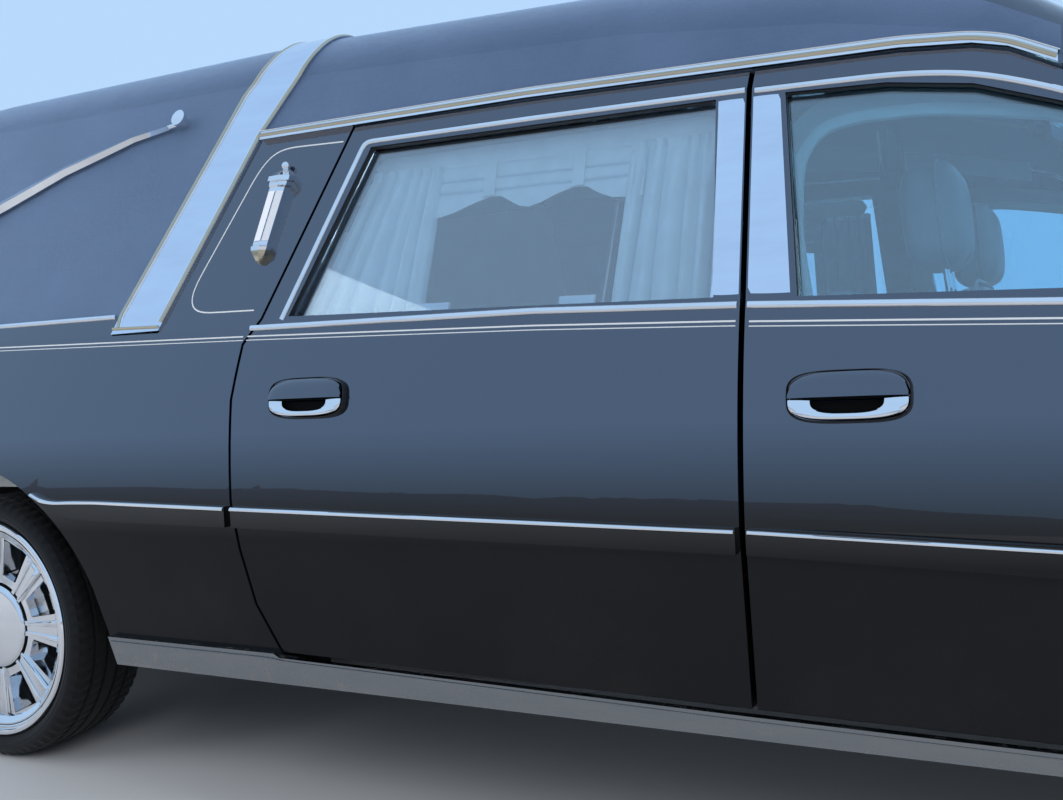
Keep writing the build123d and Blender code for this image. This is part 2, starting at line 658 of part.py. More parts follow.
mx, mz = LANDAU_MID
bar_rows = [(mx - run, mz - rise, half) for run, rise, half in reversed(LANDAU[1:])]
bar_rows += [(mx + run, mz + rise, half) for run, rise, half in LANDAU]
bars = Solid.make_loft([bar_section(i, bar_rows) for i in range(len(bar_rows))], ruled=True)
for run, rise in (KNOB, (-KNOB[0], -KNOB[1])):
    bars = bars + stud(mx + run, mz + rise, 12, -16, 26) + stud(mx + run, mz + rise, 20, 24, 33)
    tie = 655 if run > 0 else -655
    end = (mx + tie, roof_side_y(mx + tie, mz + math.copysign(156, tie)) + 13, mz + math.copysign(156, tie))
    bars = bars + rod(end, (mx + run, roof_side_y(mx + run, mz + rise) + 15, mz + rise), 6)
bars = bars + stud(mx, mz, 34, -16, 12) + stud(mx, mz, 44, 5, 27)
bars = bars - roof_outer

# Coach lamps: a faceted body with a brim and a ball


def lamp_ring(z, x_mid, half, out):
    y = roof_side_y(x_mid, z) - 3
    return [(x_mid - half, y, z), (x_mid - half, y + out * 0.6, z), (x_mid - half * 0.5, y + out, z),
            (x_mid + half * 0.5, y + out, z), (x_mid + half, y + out * 0.6, z), (x_mid + half, y, z)]


# columns: z, x of the middle, half width, depth
LAMP_STEPS = [(1183, -611, 4, 10), (1213, -611, 21, 32), (1362, -588, 22, 34), (1363, -587, 30, 42), (1378, -586, 30, 42),
              (1390, -585, 17, 24), (1396, -584, 7, 12)]
lamp = Solid.make_loft(
    [Wire.make_polygon(lamp_ring(*step), close=True) for step in LAMP_STEPS], ruled=True)
lamp = lamp - roof_outer
lamp = lamp + Solid.make_sphere(10).moved(Location((-581, roof_side_y(-581, 1402) + 12, 1402)))

# Seats, partition, dashboard and steering wheel
seat = box(770, 1290, 110, 640, 440, 590)
seat = seat.fillet(38, [e for e in seat.edges() if e.center().Z > 500])
seat_back = prism_xz([(780, 520), (900, 540), (850, 1040), (740, 1060)], 120, 630)
seat_back = seat_back.fillet(36, [e for e in seat_back.edges() if e.center().Z > 560])
rest = box(690, 775, 262, 488, 1085, 1290)
rest = rest.fillet(38, rest.edges())
rest_post = rod((740, 340, 1030), (735, 340, 1100), 8) + rod((740, 410, 1030), (735, 410, 1100), 8)
seat_base = box(840, 1220, 150, 600, 332, 445)
seat = seat + seat_back + seat_base + rest_post + rest
seats = [seat, mirrored(seat)]
partition = box(600, 622, -770, 770, 332, 1010) + box(590, 632, -770, 770, 1000, 1030)
dash = prism_xz([(1590, 640), (1590, 915), (1420, 940), (1330, 920), (1310, 820), (1360, 640)], -730, 730)
AXIS_OUT = Vector(-0.92, 0, 0.39).normalized()
WHEEL_AT = Vector(1225, 375, 876)
column_end = WHEEL_AT - AXIS_OUT * 14.3
column_foot = WHEEL_AT - AXIS_OUT * 130
column = rod(tuple(column_foot), tuple(column_end), 26)
dash = dash + column
WHEEL_HUB = Plane(origin=WHEEL_AT, z_dir=AXIS_OUT)
RIM_RING = [(170, -8), (177, -15), (193, -15), (200, -8), (200, 8), (193, 15), (177, 15), (170, 8)]
ring_face = Face(Wire.make_polygon([(r, 0, z) for r, z in RIM_RING], close=True))
steering = Solid.make_cylinder(50, 26, Plane(origin=WHEEL_AT - AXIS_OUT * 14, z_dir=AXIS_OUT))
rim_up = Vector(0.39, 0, 0.92).normalized()
for a in (90, 210, 330):
    turn = math.radians(a)
    end = WHEEL_AT + Vector(0, 182 * math.sin(turn), 0) + rim_up * (182 * math.cos(turn))
    steering = steering + rod((1226, 375, 875.6), (end.X, end.Y, end.Z), 9)
steering = steering + Solid.revolve(ring_face, 360, Axis((0, 0, 0), (0, 0, 1))).moved(Location(WHEEL_HUB))

# Casket deck with its rollers
deck = box(-2650, 430, -768, 768, 655, 690) + box(-3020, -2640, -740, 740, 655, 690)
for cut in both_arches(REAR_AXLE_X, 536, 1100, 22):
    deck = deck - cut
for i in range(9):
    x = -2850 + i * 360
    deck = deck + rod_y(x, 688, 20, -260, 260)
deck = deck + box(-3000, -2960, -520, 520, 470, 660) + box(380, 420, -700, 700, 332, 660)

# Running gear
engine = box(AX - 172, AX + 438, -270, 270, 300, 850)
subframe = box(AX - 172, AX + 178, -260, 260, 205, 300) + box(AX - 42, AX + 38, -395, 395, 240, 300)
for y in (1, -1):
    arm = prism_xy([(AX - 112, 250), (AX - 72, 250), (AX + 28, 600), (AX + 28, KINGPIN_Y + 18),
                    (AX - 28, KINGPIN_Y + 18), (AX - 28, 600)], AZ - 155, AZ - 130)
    arm2 = prism_xy([(AX + 108, 250), (AX + 148, 250), (AX + 28, 600), (AX - 28, 600)], AZ - 155, AZ - 130)
    arm = arm + box(AX - 122, AX - 62, 240, 262, AZ - 155, 230) + box(AX + 98, AX + 158, 240, 262, AZ - 155, 230)
    arm = arm + rod((AX, KINGPIN_Y, AZ - 140), (AX, KINGPIN_Y, AZ - 90), 10)
    strut = rod((AX, 560, AZ - 135), (AX, 548, 700), 28) + rod((AX, 551, AZ + 145), (AX, 548, 690), 50)
    leg = arm + arm2 + strut
    subframe = subframe + (leg if y > 0 else mirrored(leg))
knuckle = box(AX - 30, AX + 30, KINGPIN_Y - 16, KINGPIN_Y + 16, AZ - 120, AZ + 135)
knuckle = knuckle - rod((AX, KINGPIN_Y, AZ - 125), (AX, KINGPIN_Y, AZ - 87), 10.3)
knuckle = knuckle + rod_y(AX, AZ, 62, KINGPIN_Y - 16, KINGPIN_Y + 20)
knuckle = knuckle + rod_y(AX, AZ, STUB_R, KINGPIN_Y + 4, FRONT_WHEEL_Y + 56)
axle_end = REAR_WHEEL_Y + 56
rear_axle = rod_y(RX, AZ, 42, -680, 680) + rod_y(RX, AZ, STUB_R, -axle_end, axle_end)
for s in (1, -1):
    trail = prism_xz([(RX - 52, FLOOR_Z - 42), (RX + 588, FLOOR_Z - 42), (RX + 588, FLOOR_Z), (RX + 528, FLOOR_Z),
                      (RX + 498, FLOOR_Z - 10), (RX + 48, FLOOR_Z - 10), (RX + 38, AZ - 5), (RX - 38, AZ - 5)], 430, 480)
    spring = rod((RX, 455, AZ + 10), (RX, 455, AZ + 75), 45)
    set_ = trail + spring
    rear_axle = rear_axle + (set_ if s > 0 else mirrored(set_))
exhaust = rod((1900, -120, 250), (900, -120, 250), 28) + rod((900, -120, 250), (-900, -160, 250), 28)
exhaust = exhaust + box(-200, 400, -230, -60, 200, 300)
exhaust = exhaust + rod((-900, -160, 250), (-2300, -200, 250), 28) + box(-2750, -2300, -330, -90, 190, 300)
exhaust = exhaust + rod((-2750, -250, 245), (-3110, -250, 245), 26)
tank = box(-900, -300, 60, 620, 190, 300)

# Wheels
TYRE_PROFILE = [(BARREL_R + 0.4, 86), (LIP_R + 1, 88), (LIP_R + 14, 108), (LIP_R + 30, TYRE_HALF),
                (TYRE_R - 9, 102), (TYRE_R, 84)]


def revolve_y(points, x, y, z):
    """Turn a closed profile of (radius, y) points about the axle."""
    wire = Wire.make_polygon([(0, b, a) for a, b in points], close=True)
    turned = Solid.revolve(Face(wire), 360, Axis((0, 0, 0), (0, 1, 0)))
    return turned.moved(Location((x, y, z)))


def tyre(x, y):
    left = [(r, s) for r, s in TYRE_PROFILE]
    right = [(r, -s) for r, s in reversed(TYRE_PROFILE)]
    return revolve_y(left + right, x, y, TYRE_R)


RIM_PROFILE = [(BARREL_R, -88), (BARREL_R, 88), (LIP_R - 12, 89.5), (LIP_R, 92), (LIP_R, 104), (LIP_R - 10, 104),
               (LIP_R - 13, 97), (LIP_R - 18, 97), (SPOKE_R, 84), (SPOKE_R - 3, 78), (CAP_R + 24, 76), (CAP_R, 78),
               (CAP_R - 4, 84), (0, 84), (0, 62), (SPOKE_R - 3, 62), (BARREL_R - 10, 70), (BARREL_R - 10, -88), (LIP_R - 14, -92),
               (LIP_R - 14, -100), (LIP_R, -104), (LIP_R, -92), (LIP_R - 12, -89.5)]


def rim(x, y):
    """Spoked wheel: flat cap, twin ribbed spokes, sloped band and lip."""
    body = revolve_y(RIM_PROFILE, 0, 0, 0)
    step = 360.0 / SPOKES
    for i in range(SPOKES):
        a = Location((0, 0, 0), (0, (i + 0.5) * step, 0))
        window = prism_xz([(-24, CAP_R + 28), (24, CAP_R + 28), (46, SPOKE_R - 10), (-46, SPOKE_R - 10)], 40, 110)
        body = body - window.moved(a)
        b = Location((0, 0, 0), (0, i * step, 0))
        for s in (-1, 1):
            rib = box(s * 14 - 5, s * 14 + 5, 74, 82, CAP_R + 4, SPOKE_R - 2)
            body = body + rib.moved(b)
    hub = rod_y(0, 0, 64, -30, 64) - rod_y(0, 0, STUB_R + 0.1, -31, 60)
    body = (body - rod_y(0, 0, STUB_R + 0.1, 40, 60)) + hub
    return body.moved(Location((x, y, TYRE_R)))


WHEELS = [
    # name, x, y
    ("front_left", FRONT_AXLE_X, FRONT_WHEEL_Y),
    ("front_right", FRONT_AXLE_X, -FRONT_WHEEL_Y),
    ("rear_left", REAR_AXLE_X, REAR_WHEEL_Y),
    ("rear_right", REAR_AXLE_X, -REAR_WHEEL_Y),
]
for name, x, y in WHEELS:
    wheel_tyre, wheel_rim = tyre(x, abs(y)), rim(x, abs(y))
    if y < 0:
        wheel_tyre, wheel_rim = mirrored(wheel_tyre), mirrored(wheel_rim)
    save(f"tyre_{name}", wheel_tyre)
    save(f"wheel_{name}", wheel_rim)

save("floor_pan", floor)
save("firewall", firewall)
save("front_fenders", fenders)
save("quarter_panels", quarter)
save("vinyl_roof", roof)
save("landau_band", band)
save("landau_bars", bars, mirrored(bars))
save("coach_lamps", lamp, mirrored(lamp))
save("cabin_frame", cabin, posts)
save("windshield", windshield)
save("hood", hood)
save("front_bumper", front_bumper)
save("grille", grille)
save("headlamps", headlamp, mirrored(headlamp))
save("rear_bumper", rear_bumper)
save("tail_lamps", tail_lamp, mirrored(tail_lamp))
save("rockers", rocker, mirrored(rocker))
save("body_mouldings", tail_mould + nose_mould, [mirrored(m) for m in tail_mould + nose_mould])
save("drip_mouldings", drip, mirrored(drip))
save("casket_deck", deck)
save("partition", partition)
save("front_seats", seats)
save("dashboard", dash)
save("steering_wheel", steering)
save("engine_block", engine)
save("front_suspension", subframe)
save("rear_axle", rear_axle)
save("exhaust", exhaust)
save("fuel_tank", tank)
save("knuckle_left", knuckle)
save("knuckle_right", mirrored(knuckle))
save("front_door_left", front_door)
save("front_door_right", mirrored(front_door))
save("front_glass_left", front_glass)
save("front_glass_right", mirrored(front_glass))
save("rear_door_left", rear_door)
save("rear_door_right", mirrored(rear_door))
save("rear_glass_left", rear_glass)
save("rear_glass_right", mirrored(rear_glass))
save("drapes_left", drape)
save("drapes_right", mirrored(drape))
save("loading_door", load_door)
save("loading_glass", load_glass)
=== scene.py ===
"""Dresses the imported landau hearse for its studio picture.

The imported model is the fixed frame. Each sub-assembly is a class that builds its pieces in metres,
in the frame's own axes: +X forward, +Y to the vehicle's left, +Z up, ground at Z 0. Sizes and
places held in the classes are in mm unless they say otherwise.
"""

import json
import logging
import math
from dataclasses import dataclass, field
from enum import Enum
from typing import Any, Iterable, Sequence

import bmesh
import bpy
import numpy as np
from mathutils import Matrix, Vector

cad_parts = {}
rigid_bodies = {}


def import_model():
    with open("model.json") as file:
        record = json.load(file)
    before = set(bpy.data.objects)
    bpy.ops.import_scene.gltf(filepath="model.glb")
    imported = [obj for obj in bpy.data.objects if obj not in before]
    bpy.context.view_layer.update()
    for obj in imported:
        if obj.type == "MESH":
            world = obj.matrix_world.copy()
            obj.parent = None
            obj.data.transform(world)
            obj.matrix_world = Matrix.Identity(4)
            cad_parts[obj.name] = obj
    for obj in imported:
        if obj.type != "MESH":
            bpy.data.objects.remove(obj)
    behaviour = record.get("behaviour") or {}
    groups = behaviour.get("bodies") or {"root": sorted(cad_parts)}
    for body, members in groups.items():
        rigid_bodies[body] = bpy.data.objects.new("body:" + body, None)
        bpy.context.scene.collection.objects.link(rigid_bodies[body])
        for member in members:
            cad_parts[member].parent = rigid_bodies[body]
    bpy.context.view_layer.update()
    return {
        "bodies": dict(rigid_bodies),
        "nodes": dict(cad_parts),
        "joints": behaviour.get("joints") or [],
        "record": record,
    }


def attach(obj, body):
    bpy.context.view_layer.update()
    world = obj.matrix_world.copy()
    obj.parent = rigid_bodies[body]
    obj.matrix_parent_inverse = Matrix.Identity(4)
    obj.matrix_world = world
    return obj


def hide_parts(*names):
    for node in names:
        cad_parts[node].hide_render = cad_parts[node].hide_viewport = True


LOG = logging.getLogger("hearse")
MM = 0.001
AHEAD, LEFT, UP, REARWARD = (1.0, 0.0, 0.0), (0.0, 1.0, 0.0), (0.0, 0.0, 1.0), (-1.0, 0.0, 0.0)
AXLE_Z = 335.0
DECK_Z = 690.0
# Wheels: name, x and y of the middle (mm)
WHEELS = (
    ("front_left", 2122, 790), ("front_right", 2122, -790),
    ("rear_left", -1538, 785), ("rear_right", -1538, -785),
)
# Points as pairs of sizes
Outline = tuple[tuple[float, float], ...]

# Stations of the lower body: x, z sill, w sill, z widest, w widest, z belt, w belt (mm)
LOWER = np.array([
    (-3120, 446, 812, 700, 858, 1072, 814),
    (-3102, 434, 836, 700, 881, 1072, 836),
    (-3060, 416, 853, 699, 896, 1072, 850),
    (-2700, 330, 900, 690, 935, 1070, 878),
    (-1700, 295, 915, 680, 945, 1062, 885),
    (-600, 295, 915, 665, 945, 1045, 885),
    (600, 295, 915, 648, 945, 1005, 888),
    (1605, 295, 915, 646, 945, 950, 882),
], float)
# Stations of the roof: x, z side top, w side top, z crown edge, w crown edge, z crown (mm)
ROOF = np.array([
    (-3120, 1566, 634, 1654, 522, 1678),
    (-3102, 1584, 652, 1678, 538, 1702),
    (-3060, 1595, 662, 1692, 545, 1717),
    (-2750, 1632, 670, 1734, 545, 1760),
    (-1700, 1652, 668, 1750, 545, 1778),
    (-600, 1622, 680, 1726, 550, 1754),
    (200, 1560, 700, 1674, 565, 1708),
    (600, 1500, 720, 1618, 590, 1660),
    (860, 1435, 742, 1550, 615, 1596),
    (1605, 962, 870, 984, 810, 1022),
], float)


class Side(Enum):
    """A side of the vehicle; the value is the sign of Y."""

    LEFT = 1.0
    RIGHT = -1.0

    @property
    def word(self) -> str:
        """Returns the side as node names spell it."""
        return self.name.lower()


class NodeGraph:
    """Small helper that wires one material's shader nodes."""

    def __init__(self, name: str) -> None:
        """Makes an empty material with its shader and output.

        Args:
            name: the material's name.
        """
        self.material = bpy.data.materials.new(name)
        self.material.use_nodes = True
        self.tree = self.material.node_tree
        self.tree.nodes.clear()
        self.shader = self.tree.nodes.new("ShaderNodeBsdfPrincipled")
        self.output = self.tree.nodes.new("ShaderNodeOutputMaterial")
        self.link(self.shader.outputs["BSDF"], self.output.inputs["Surface"])
        self.coords = self.tree.nodes.new("ShaderNodeTexCoord").outputs["Object"]

    def link(self, source: Any, target: Any) -> None:
        """Links an output socket to an input socket."""
        self.tree.links.new(source, target)

    def put(self, socket: str, value: Any) -> None:
        """Sets a constant on a socket of the shader.

        Args:
            socket: name of the Principled socket.
            value: number or colour.
        """
        self.shader.inputs[socket].default_value = value

    def node(self, kind: str, **values: Any) -> Any:
        """Makes a node and sets its properties or inputs by name.

        Args:
            kind: node type without its prefix.
            values: properties or sockets, spaces as underscores.

        Returns:
            The new node.
        """
        made = self.tree.nodes.new("ShaderNode" + kind)
        for key, value in values.items():
            if hasattr(made, key):
                setattr(made, key, value)
            else:
                made.inputs[key.replace("_", " ")].default_value = value
        return made

    def mapping(self, scale: Sequence[float]) -> Any:
        """Stretches the object coordinates.

        Args:
            scale: factor for each axis.

        Returns:
            The new coordinates.
        """
        made = self.node("Mapping")
        made.inputs["Scale"].default_value = tuple(scale)
        self.link(self.coords, made.inputs["Vector"])
        return made.outputs["Vector"]

    def noise(self, scale: float, detail: float = 4.0, source: Any = None, rough: float = 0.55) -> Any:
        """Adds a noise texture.

        Args:
            scale: its scale.
            detail: its octaves.
            source: coordinates, or None for the object's own.
            rough: weight of the fine octaves.

        Returns:
            Its factor.
        """
        made = self.node("TexNoise", Scale=scale, Detail=detail, Roughness=rough)
        self.link(source or self.coords, made.inputs["Vector"])
        return made.outputs["Fac"]

    def cells(self, scale: float, feature: str = "F1", source: Any = None) -> Any:
        """Adds a Voronoi texture.

        Args:
            scale: its scale.
            feature: the distance that it gives.
            source: coordinates, or None for the object's own.

        Returns:
            Its distance.
        """
        made = self.node("TexVoronoi", feature=feature)
        made.inputs["Scale"].default_value = scale
        self.link(source or self.coords, made.inputs["Vector"])
        return made.outputs["Distance"]

    def ramp(self, factor: Any, stops: Sequence[tuple[float, Sequence[float]]]) -> Any:
        """Adds a colour ramp.

        Args:
            factor: socket that drives it.
            stops: pairs of place and colour.

        Returns:
            Its colour.
        """
        made = self.node("ValToRGB")
        ramp = made.color_ramp
        while len(ramp.elements) < len(stops):
            ramp.elements.new(0.5)
        for element, (place, colour) in zip(ramp.elements, stops):
            element.position = place
            element.color = (*colour[:3], 1.0)
        self.link(factor, made.inputs["Fac"])
        return made.outputs["Color"]

    def span(self, factor: Any, low: float, high: float, to_low: float, to_high: float) -> Any:
        """Maps a factor linearly from one range to another, clamped.

        Args:
            factor: socket to map.
            low: start of its range.
            high: end of its range.
            to_low: start of the new range.
            to_high: end of the new range.

        Returns:
            The mapped factor.
        """
        made = self.node("MapRange")
        for key, value in (("From Min", low), ("From Max", high), ("To Min", to_low), ("To Max", to_high)):
            made.inputs[key].default_value = value
        self.link(factor, made.inputs["Value"])
        return made.outputs["Result"]

    def maths(self, kind: str, first: Any, second: Any) -> Any:
        """Adds a math node.

        Args:
            kind: its operation.
            first: socket or number.
            second: socket or number.

        Returns:
            Its value.
        """
        made = self.node("Math", operation=kind)
        for index, value in enumerate((first, second)):
            if isinstance(value, (int, float)):
                made.inputs[index].default_value = value
            else:
                self.link(value, made.inputs[index])
        return made.outputs["Value"]

    def mix(self, factor: Any, first: Any, second: Any) -> Any:
        """Mixes two colours.

        Args:
            factor: socket, 0 for the first and 1 for the second.
            first: socket or colour.
            second: socket or colour.

        Returns:
            The mixed colour.
        """
        made = self.node("MixRGB")
        self.link(factor, made.inputs["Fac"])
        for key, value in (("Color1", first), ("Color2", second)):
            if isinstance(value, (tuple, list)):
                made.inputs[key].default_value = (*value[:3], 1.0)
            else:
                self.link(value, made.inputs[key])
        return made.outputs["Color"]

    def axis(self, letter: str) -> Any:
        """Picks one axis of the object coordinates.

        Args:
            letter: X, Y or Z.

        Returns:
            That coordinate.
        """
        made = self.node("SeparateXYZ")
        self.link(self.coords, made.inputs["Vector"])
        return made.outputs[letter]

    def bump(self, height: Any, strength: float, distance: float) -> None:
        """Adds a bump to the shader's normal, on top of any earlier one.

        Args:
            height: socket of the height.
            strength: 0 to 1.
            distance: height of a full step in metres.
        """
        made = self.node("Bump")
        made.inputs["Strength"].default_value = strength
        made.inputs["Distance"].default_value = distance
        self.link(height, made.inputs["Height"])
        socket = self.shader.inputs["Normal"]
        if socket.is_linked:
            self.link(socket.links[0].from_socket, made.inputs["Normal"])
        self.link(made.outputs["Normal"], socket)


@dataclass(frozen=True)
class Finish:
    """A material's recipe.

    Attributes:
        colour: linear base colour.
    """

    name: str
    colour: tuple[float, float, float]
    roughness: float = 0.5

    def build(self) -> bpy.types.Material:
        """Makes the Blender material.

        Returns:
            The finished material.
        """
        graph = NodeGraph(self.name)
        graph.put("Base Color", (*self.colour, 1.0))
        graph.put("Roughness", self.roughness)
        self.dress(graph)
        return graph.material

    def dress(self, graph: NodeGraph) -> None:
        """Adds the finish's own nodes to a graph."""


@dataclass(frozen=True)
class GlossPaint(Finish):
    """Polished solid paint under a clear coat, with faint dust low on the body and a blue metallic tint high
    on it as painted sky reflection.
    """

    def dress(self, graph: NodeGraph) -> None:
        """Adds the clear coat, dust that thins out upwards, a blue metallic tint high up as painted sky
        reflection, and a faint ripple.

        Args:
            graph: the paint's nodes.
        """
        graph.put("Coat IOR", 2.2)
        graph.put("Coat Roughness", 0.012)
        graph.put("Specular IOR Level", 0.05)
        height = graph.axis("Z")
        high = graph.span(height, 0.6, 0.82, 0.1, 1.0)
        graph.link(high, graph.shader.inputs["Coat Weight"])
        # painted sky reflection: from 0.66 m up the paint turns metallic with a blue base colour, so the
        # upper body mirrors blue
        graph.link(graph.span(height, 0.66, 0.82, 0.0, 0.9), graph.shader.inputs["Metallic"])
        dust = graph.noise(3.2, 6.0)
        low = graph.span(height, 0.28, 0.75, 1.0, 0.0)
        amount = graph.maths("MULTIPLY", graph.span(dust, 0.42, 0.75, 0.0, 0.55), low)
        painted_sky_reflection = graph.mix(graph.span(height, 0.66, 0.82, 0.0, 1.0), self.colour, (0.005, 0.018, 0.052))
        graph.link(graph.mix(amount, painted_sky_reflection, (0.02, 0.018, 0.016)), graph.shader.inputs["Base Color"])
        graph.link(graph.span(amount, 0.0, 1.0, self.roughness, 0.4), graph.shader.inputs["Roughness"])
        graph.bump(graph.noise(420.0, 2.0), 0.018, 0.0002)
        graph.bump(graph.noise(2.1, 1.0), 0.05, 0.004)


@dataclass(frozen=True)
class Vinyl(Finish):
    """Grained roof vinyl over a thin pad; its sheen and gloss are tinted blue as painted sky reflection."""

    def dress(self, graph: NodeGraph) -> None:
        """Adds a sheen and gloss tinted blue as painted sky reflection, a fine cell grain and the broad waves
        of the pad.

        Args:
            graph: the vinyl's nodes.
        """
        graph.put("Sheen Weight", 1.0)
        graph.put("Sheen Roughness", 0.4)
        # painted sky reflection: blue tints on the sheen and the specular gloss
        graph.put("Sheen Tint", (0.5, 0.7, 1.0, 1.0))
        graph.put("Specular IOR Level", 0.8)
        graph.put("Specular Tint", (0.6, 0.8, 1.0, 1.0))
        grain = graph.cells(420.0, "DISTANCE_TO_EDGE")
        broad = graph.noise(6.0, 5.0)
        fine = graph.noise(120.0, 3.0)
        shade = tuple(min(1.0, c * 1.2 + 0.004) for c in self.colour)
        graph.link(graph.mix(graph.span(broad, 0.3, 0.7, 0.0, 1.0), self.colour, shade),
                   graph.shader.inputs["Base Color"])
        graph.link(graph.span(fine, 0.3, 0.7, self.roughness - 0.07, self.roughness + 0.08),
                   graph.shader.inputs["Roughness"])
        graph.bump(graph.span(grain, 0.0, 0.25, 0.0, 1.0), 0.5, 0.0006)
        graph.bump(graph.noise(9.0, 3.0, graph.mapping((0.5, 1.0, 2.4))), 0.25, 0.004)


@dataclass(frozen=True)
class Chrome(Finish):
    """Plated or polished metal; wear adds haze, and rust sits low at the rear."""

    haze: float = 0.04
    rust: float = 0.0

    def dress(self, graph: NodeGraph) -> None:
        """Adds smears in tone and polish, and rust that thins out forwards and upwards.

        Args:
            graph: the metal's nodes.
        """
        graph.put("Metallic", 1.0)
        smear = graph.noise(18.0, 5.0, graph.mapping((0.35, 1.0, 1.6)))
        rough = graph.span(smear, 0.35, 0.75, self.roughness, self.roughness + self.haze)
        tone = tuple(c * 0.9 for c in self.colour)
        colour = graph.mix(graph.span(smear, 0.3, 0.8, 0.0, 1.0), self.colour, tone)
        if self.rust:
            spots = graph.span(graph.noise(34.0, 8.0, rough=0.7), 0.55, 0.68, 0.0, 1.0)
            rear = graph.span(graph.axis("X"), -1.06, -0.1, 1.0, 0.12)
            low = graph.span(graph.axis("Z"), 0.29, 0.355, 1.0, 0.25)
            mask = graph.maths("MULTIPLY", graph.maths("MULTIPLY", spots, rear), low)
            mask = graph.maths("MULTIPLY", mask, self.rust)
            pits = graph.ramp(graph.noise(90.0, 4.0),
                              [(0.3, (0.05, 0.022, 0.012)), (0.7, (0.19, 0.08, 0.035))])
            colour = graph.mix(mask, colour, pits)
            graph.link(graph.span(mask, 0.0, 0.6, 1.0, 0.0), graph.shader.inputs["Metallic"])
            rough = graph.maths("ADD", rough, graph.maths("MULTIPLY", mask, 0.5))
            graph.bump(mask, 0.3, 0.001)
        graph.link(colour, graph.shader.inputs["Base Color"])
        graph.link(rough, graph.shader.inputs["Roughness"])
        graph.bump(smear, 0.03, 0.0006)


@dataclass(frozen=True)
class Glass(Finish):
    """Window or lamp glass."""

    weight: float = 1.0
    mirror: float = 0.3

    def dress(self, graph: NodeGraph) -> None:
        """Adds the clear body, its mirror coat and a faint film.

        Args:
            graph: the glass's nodes.
        """
        graph.put("Transmission Weight", self.weight)
        graph.put("IOR", 1.5)
        graph.put("Specular IOR Level", 0.8)
        graph.put("Coat Weight", self.mirror)
        graph.put("Coat IOR", 2.3)
        graph.put("Coat Roughness", 0.01)
        film = graph.noise(5.0, 4.0)
        graph.link(graph.span(film, 0.4, 0.8, self.roughness, self.roughness + 0.012),
                   graph.shader.inputs["Roughness"])


@dataclass(frozen=True)
class Cloth(Finish):
    """Woven cloth with a fine thread pattern and a soft sheen."""

    thread: float = 900.0

    def dress(self, graph: NodeGraph) -> None:
        """Adds crossed threads, worn patches and painted shade that darkens the cloth in its fold valleys.

        Args:
            graph: the cloth's nodes.
        """
        graph.put("Sheen Weight", 0.35)
        graph.put("Sheen Roughness", 0.5)
        warp = graph.node("TexWave", wave_type="BANDS", bands_direction="X")
        weft = graph.node("TexWave", wave_type="BANDS", bands_direction="Z")
        for wave in (warp, weft):
            wave.inputs["Scale"].default_value = self.thread
            wave.inputs["Distortion"].default_value = 0.6
            graph.link(graph.coords, wave.inputs["Vector"])
        weave = graph.maths("MULTIPLY", warp.outputs["Fac"], weft.outputs["Fac"])
        tone = graph.noise(14.0, 5.0)
        worn = tuple(c * 0.86 for c in self.colour)
        # painted shade: the cloth colour darkens towards the fold valleys, read from a point attribute
        fold = graph.node("Attribute", attribute_name="fold").outputs["Fac"]
        deep = tuple(c * k for c, k in zip(self.colour, (0.5, 0.56, 0.62)))
        cloth = graph.mix(graph.span(tone, 0.35, 0.7, 0.0, 1.0), self.colour, worn)
        graph.link(graph.mix(fold, cloth, deep), graph.shader.inputs["Base Color"])
        graph.bump(weave, 0.15, 0.0003)
        graph.bump(graph.noise(60.0, 3.0), 0.12, 0.001)


@dataclass(frozen=True)
class Grained(Finish):
    """Leather, moulded plastic, rubber or wood-like surfaces with a cell or noise grain.

    Attributes:
        depth: height of the grain in metres.
        stretch: factor of the grain along each axis.
    """

    grain: float = 320.0
    depth: float = 0.0004
    sheen: float = 0.1
    stretch: tuple[float, float, float] = (1.0, 1.0, 1.0)
    contrast: float = 0.25
    metallic: float = 0.0
    gloss: float = 0.5

    def dress(self, graph: NodeGraph) -> None:
        """Adds patches in tone and a grain of cells and noise.

        Args:
            graph: the surface's nodes.
        """
        graph.put("Sheen Weight", self.sheen)
        graph.put("Specular IOR Level", self.gloss)
        graph.put("Metallic", self.metallic)
        source = graph.mapping(self.stretch)
        tone = graph.noise(11.0, 6.0, source)
        dark = tuple(c * (1.0 - self.contrast) for c in self.colour)
        light = tuple(min(1.0, c * (1.0 + self.contrast)) for c in self.colour)
        graph.link(graph.ramp(tone, [(0.3, dark), (0.7, light)]), graph.shader.inputs["Base Color"])
        graph.link(graph.span(tone, 0.3, 0.7, self.roughness - 0.05, self.roughness + 0.06),
                   graph.shader.inputs["Roughness"])
        graph.bump(graph.cells(self.grain, "DISTANCE_TO_EDGE", source), 0.35, self.depth)
        graph.bump(graph.noise(self.grain * 0.25, 3.0, source), 0.2, self.depth)


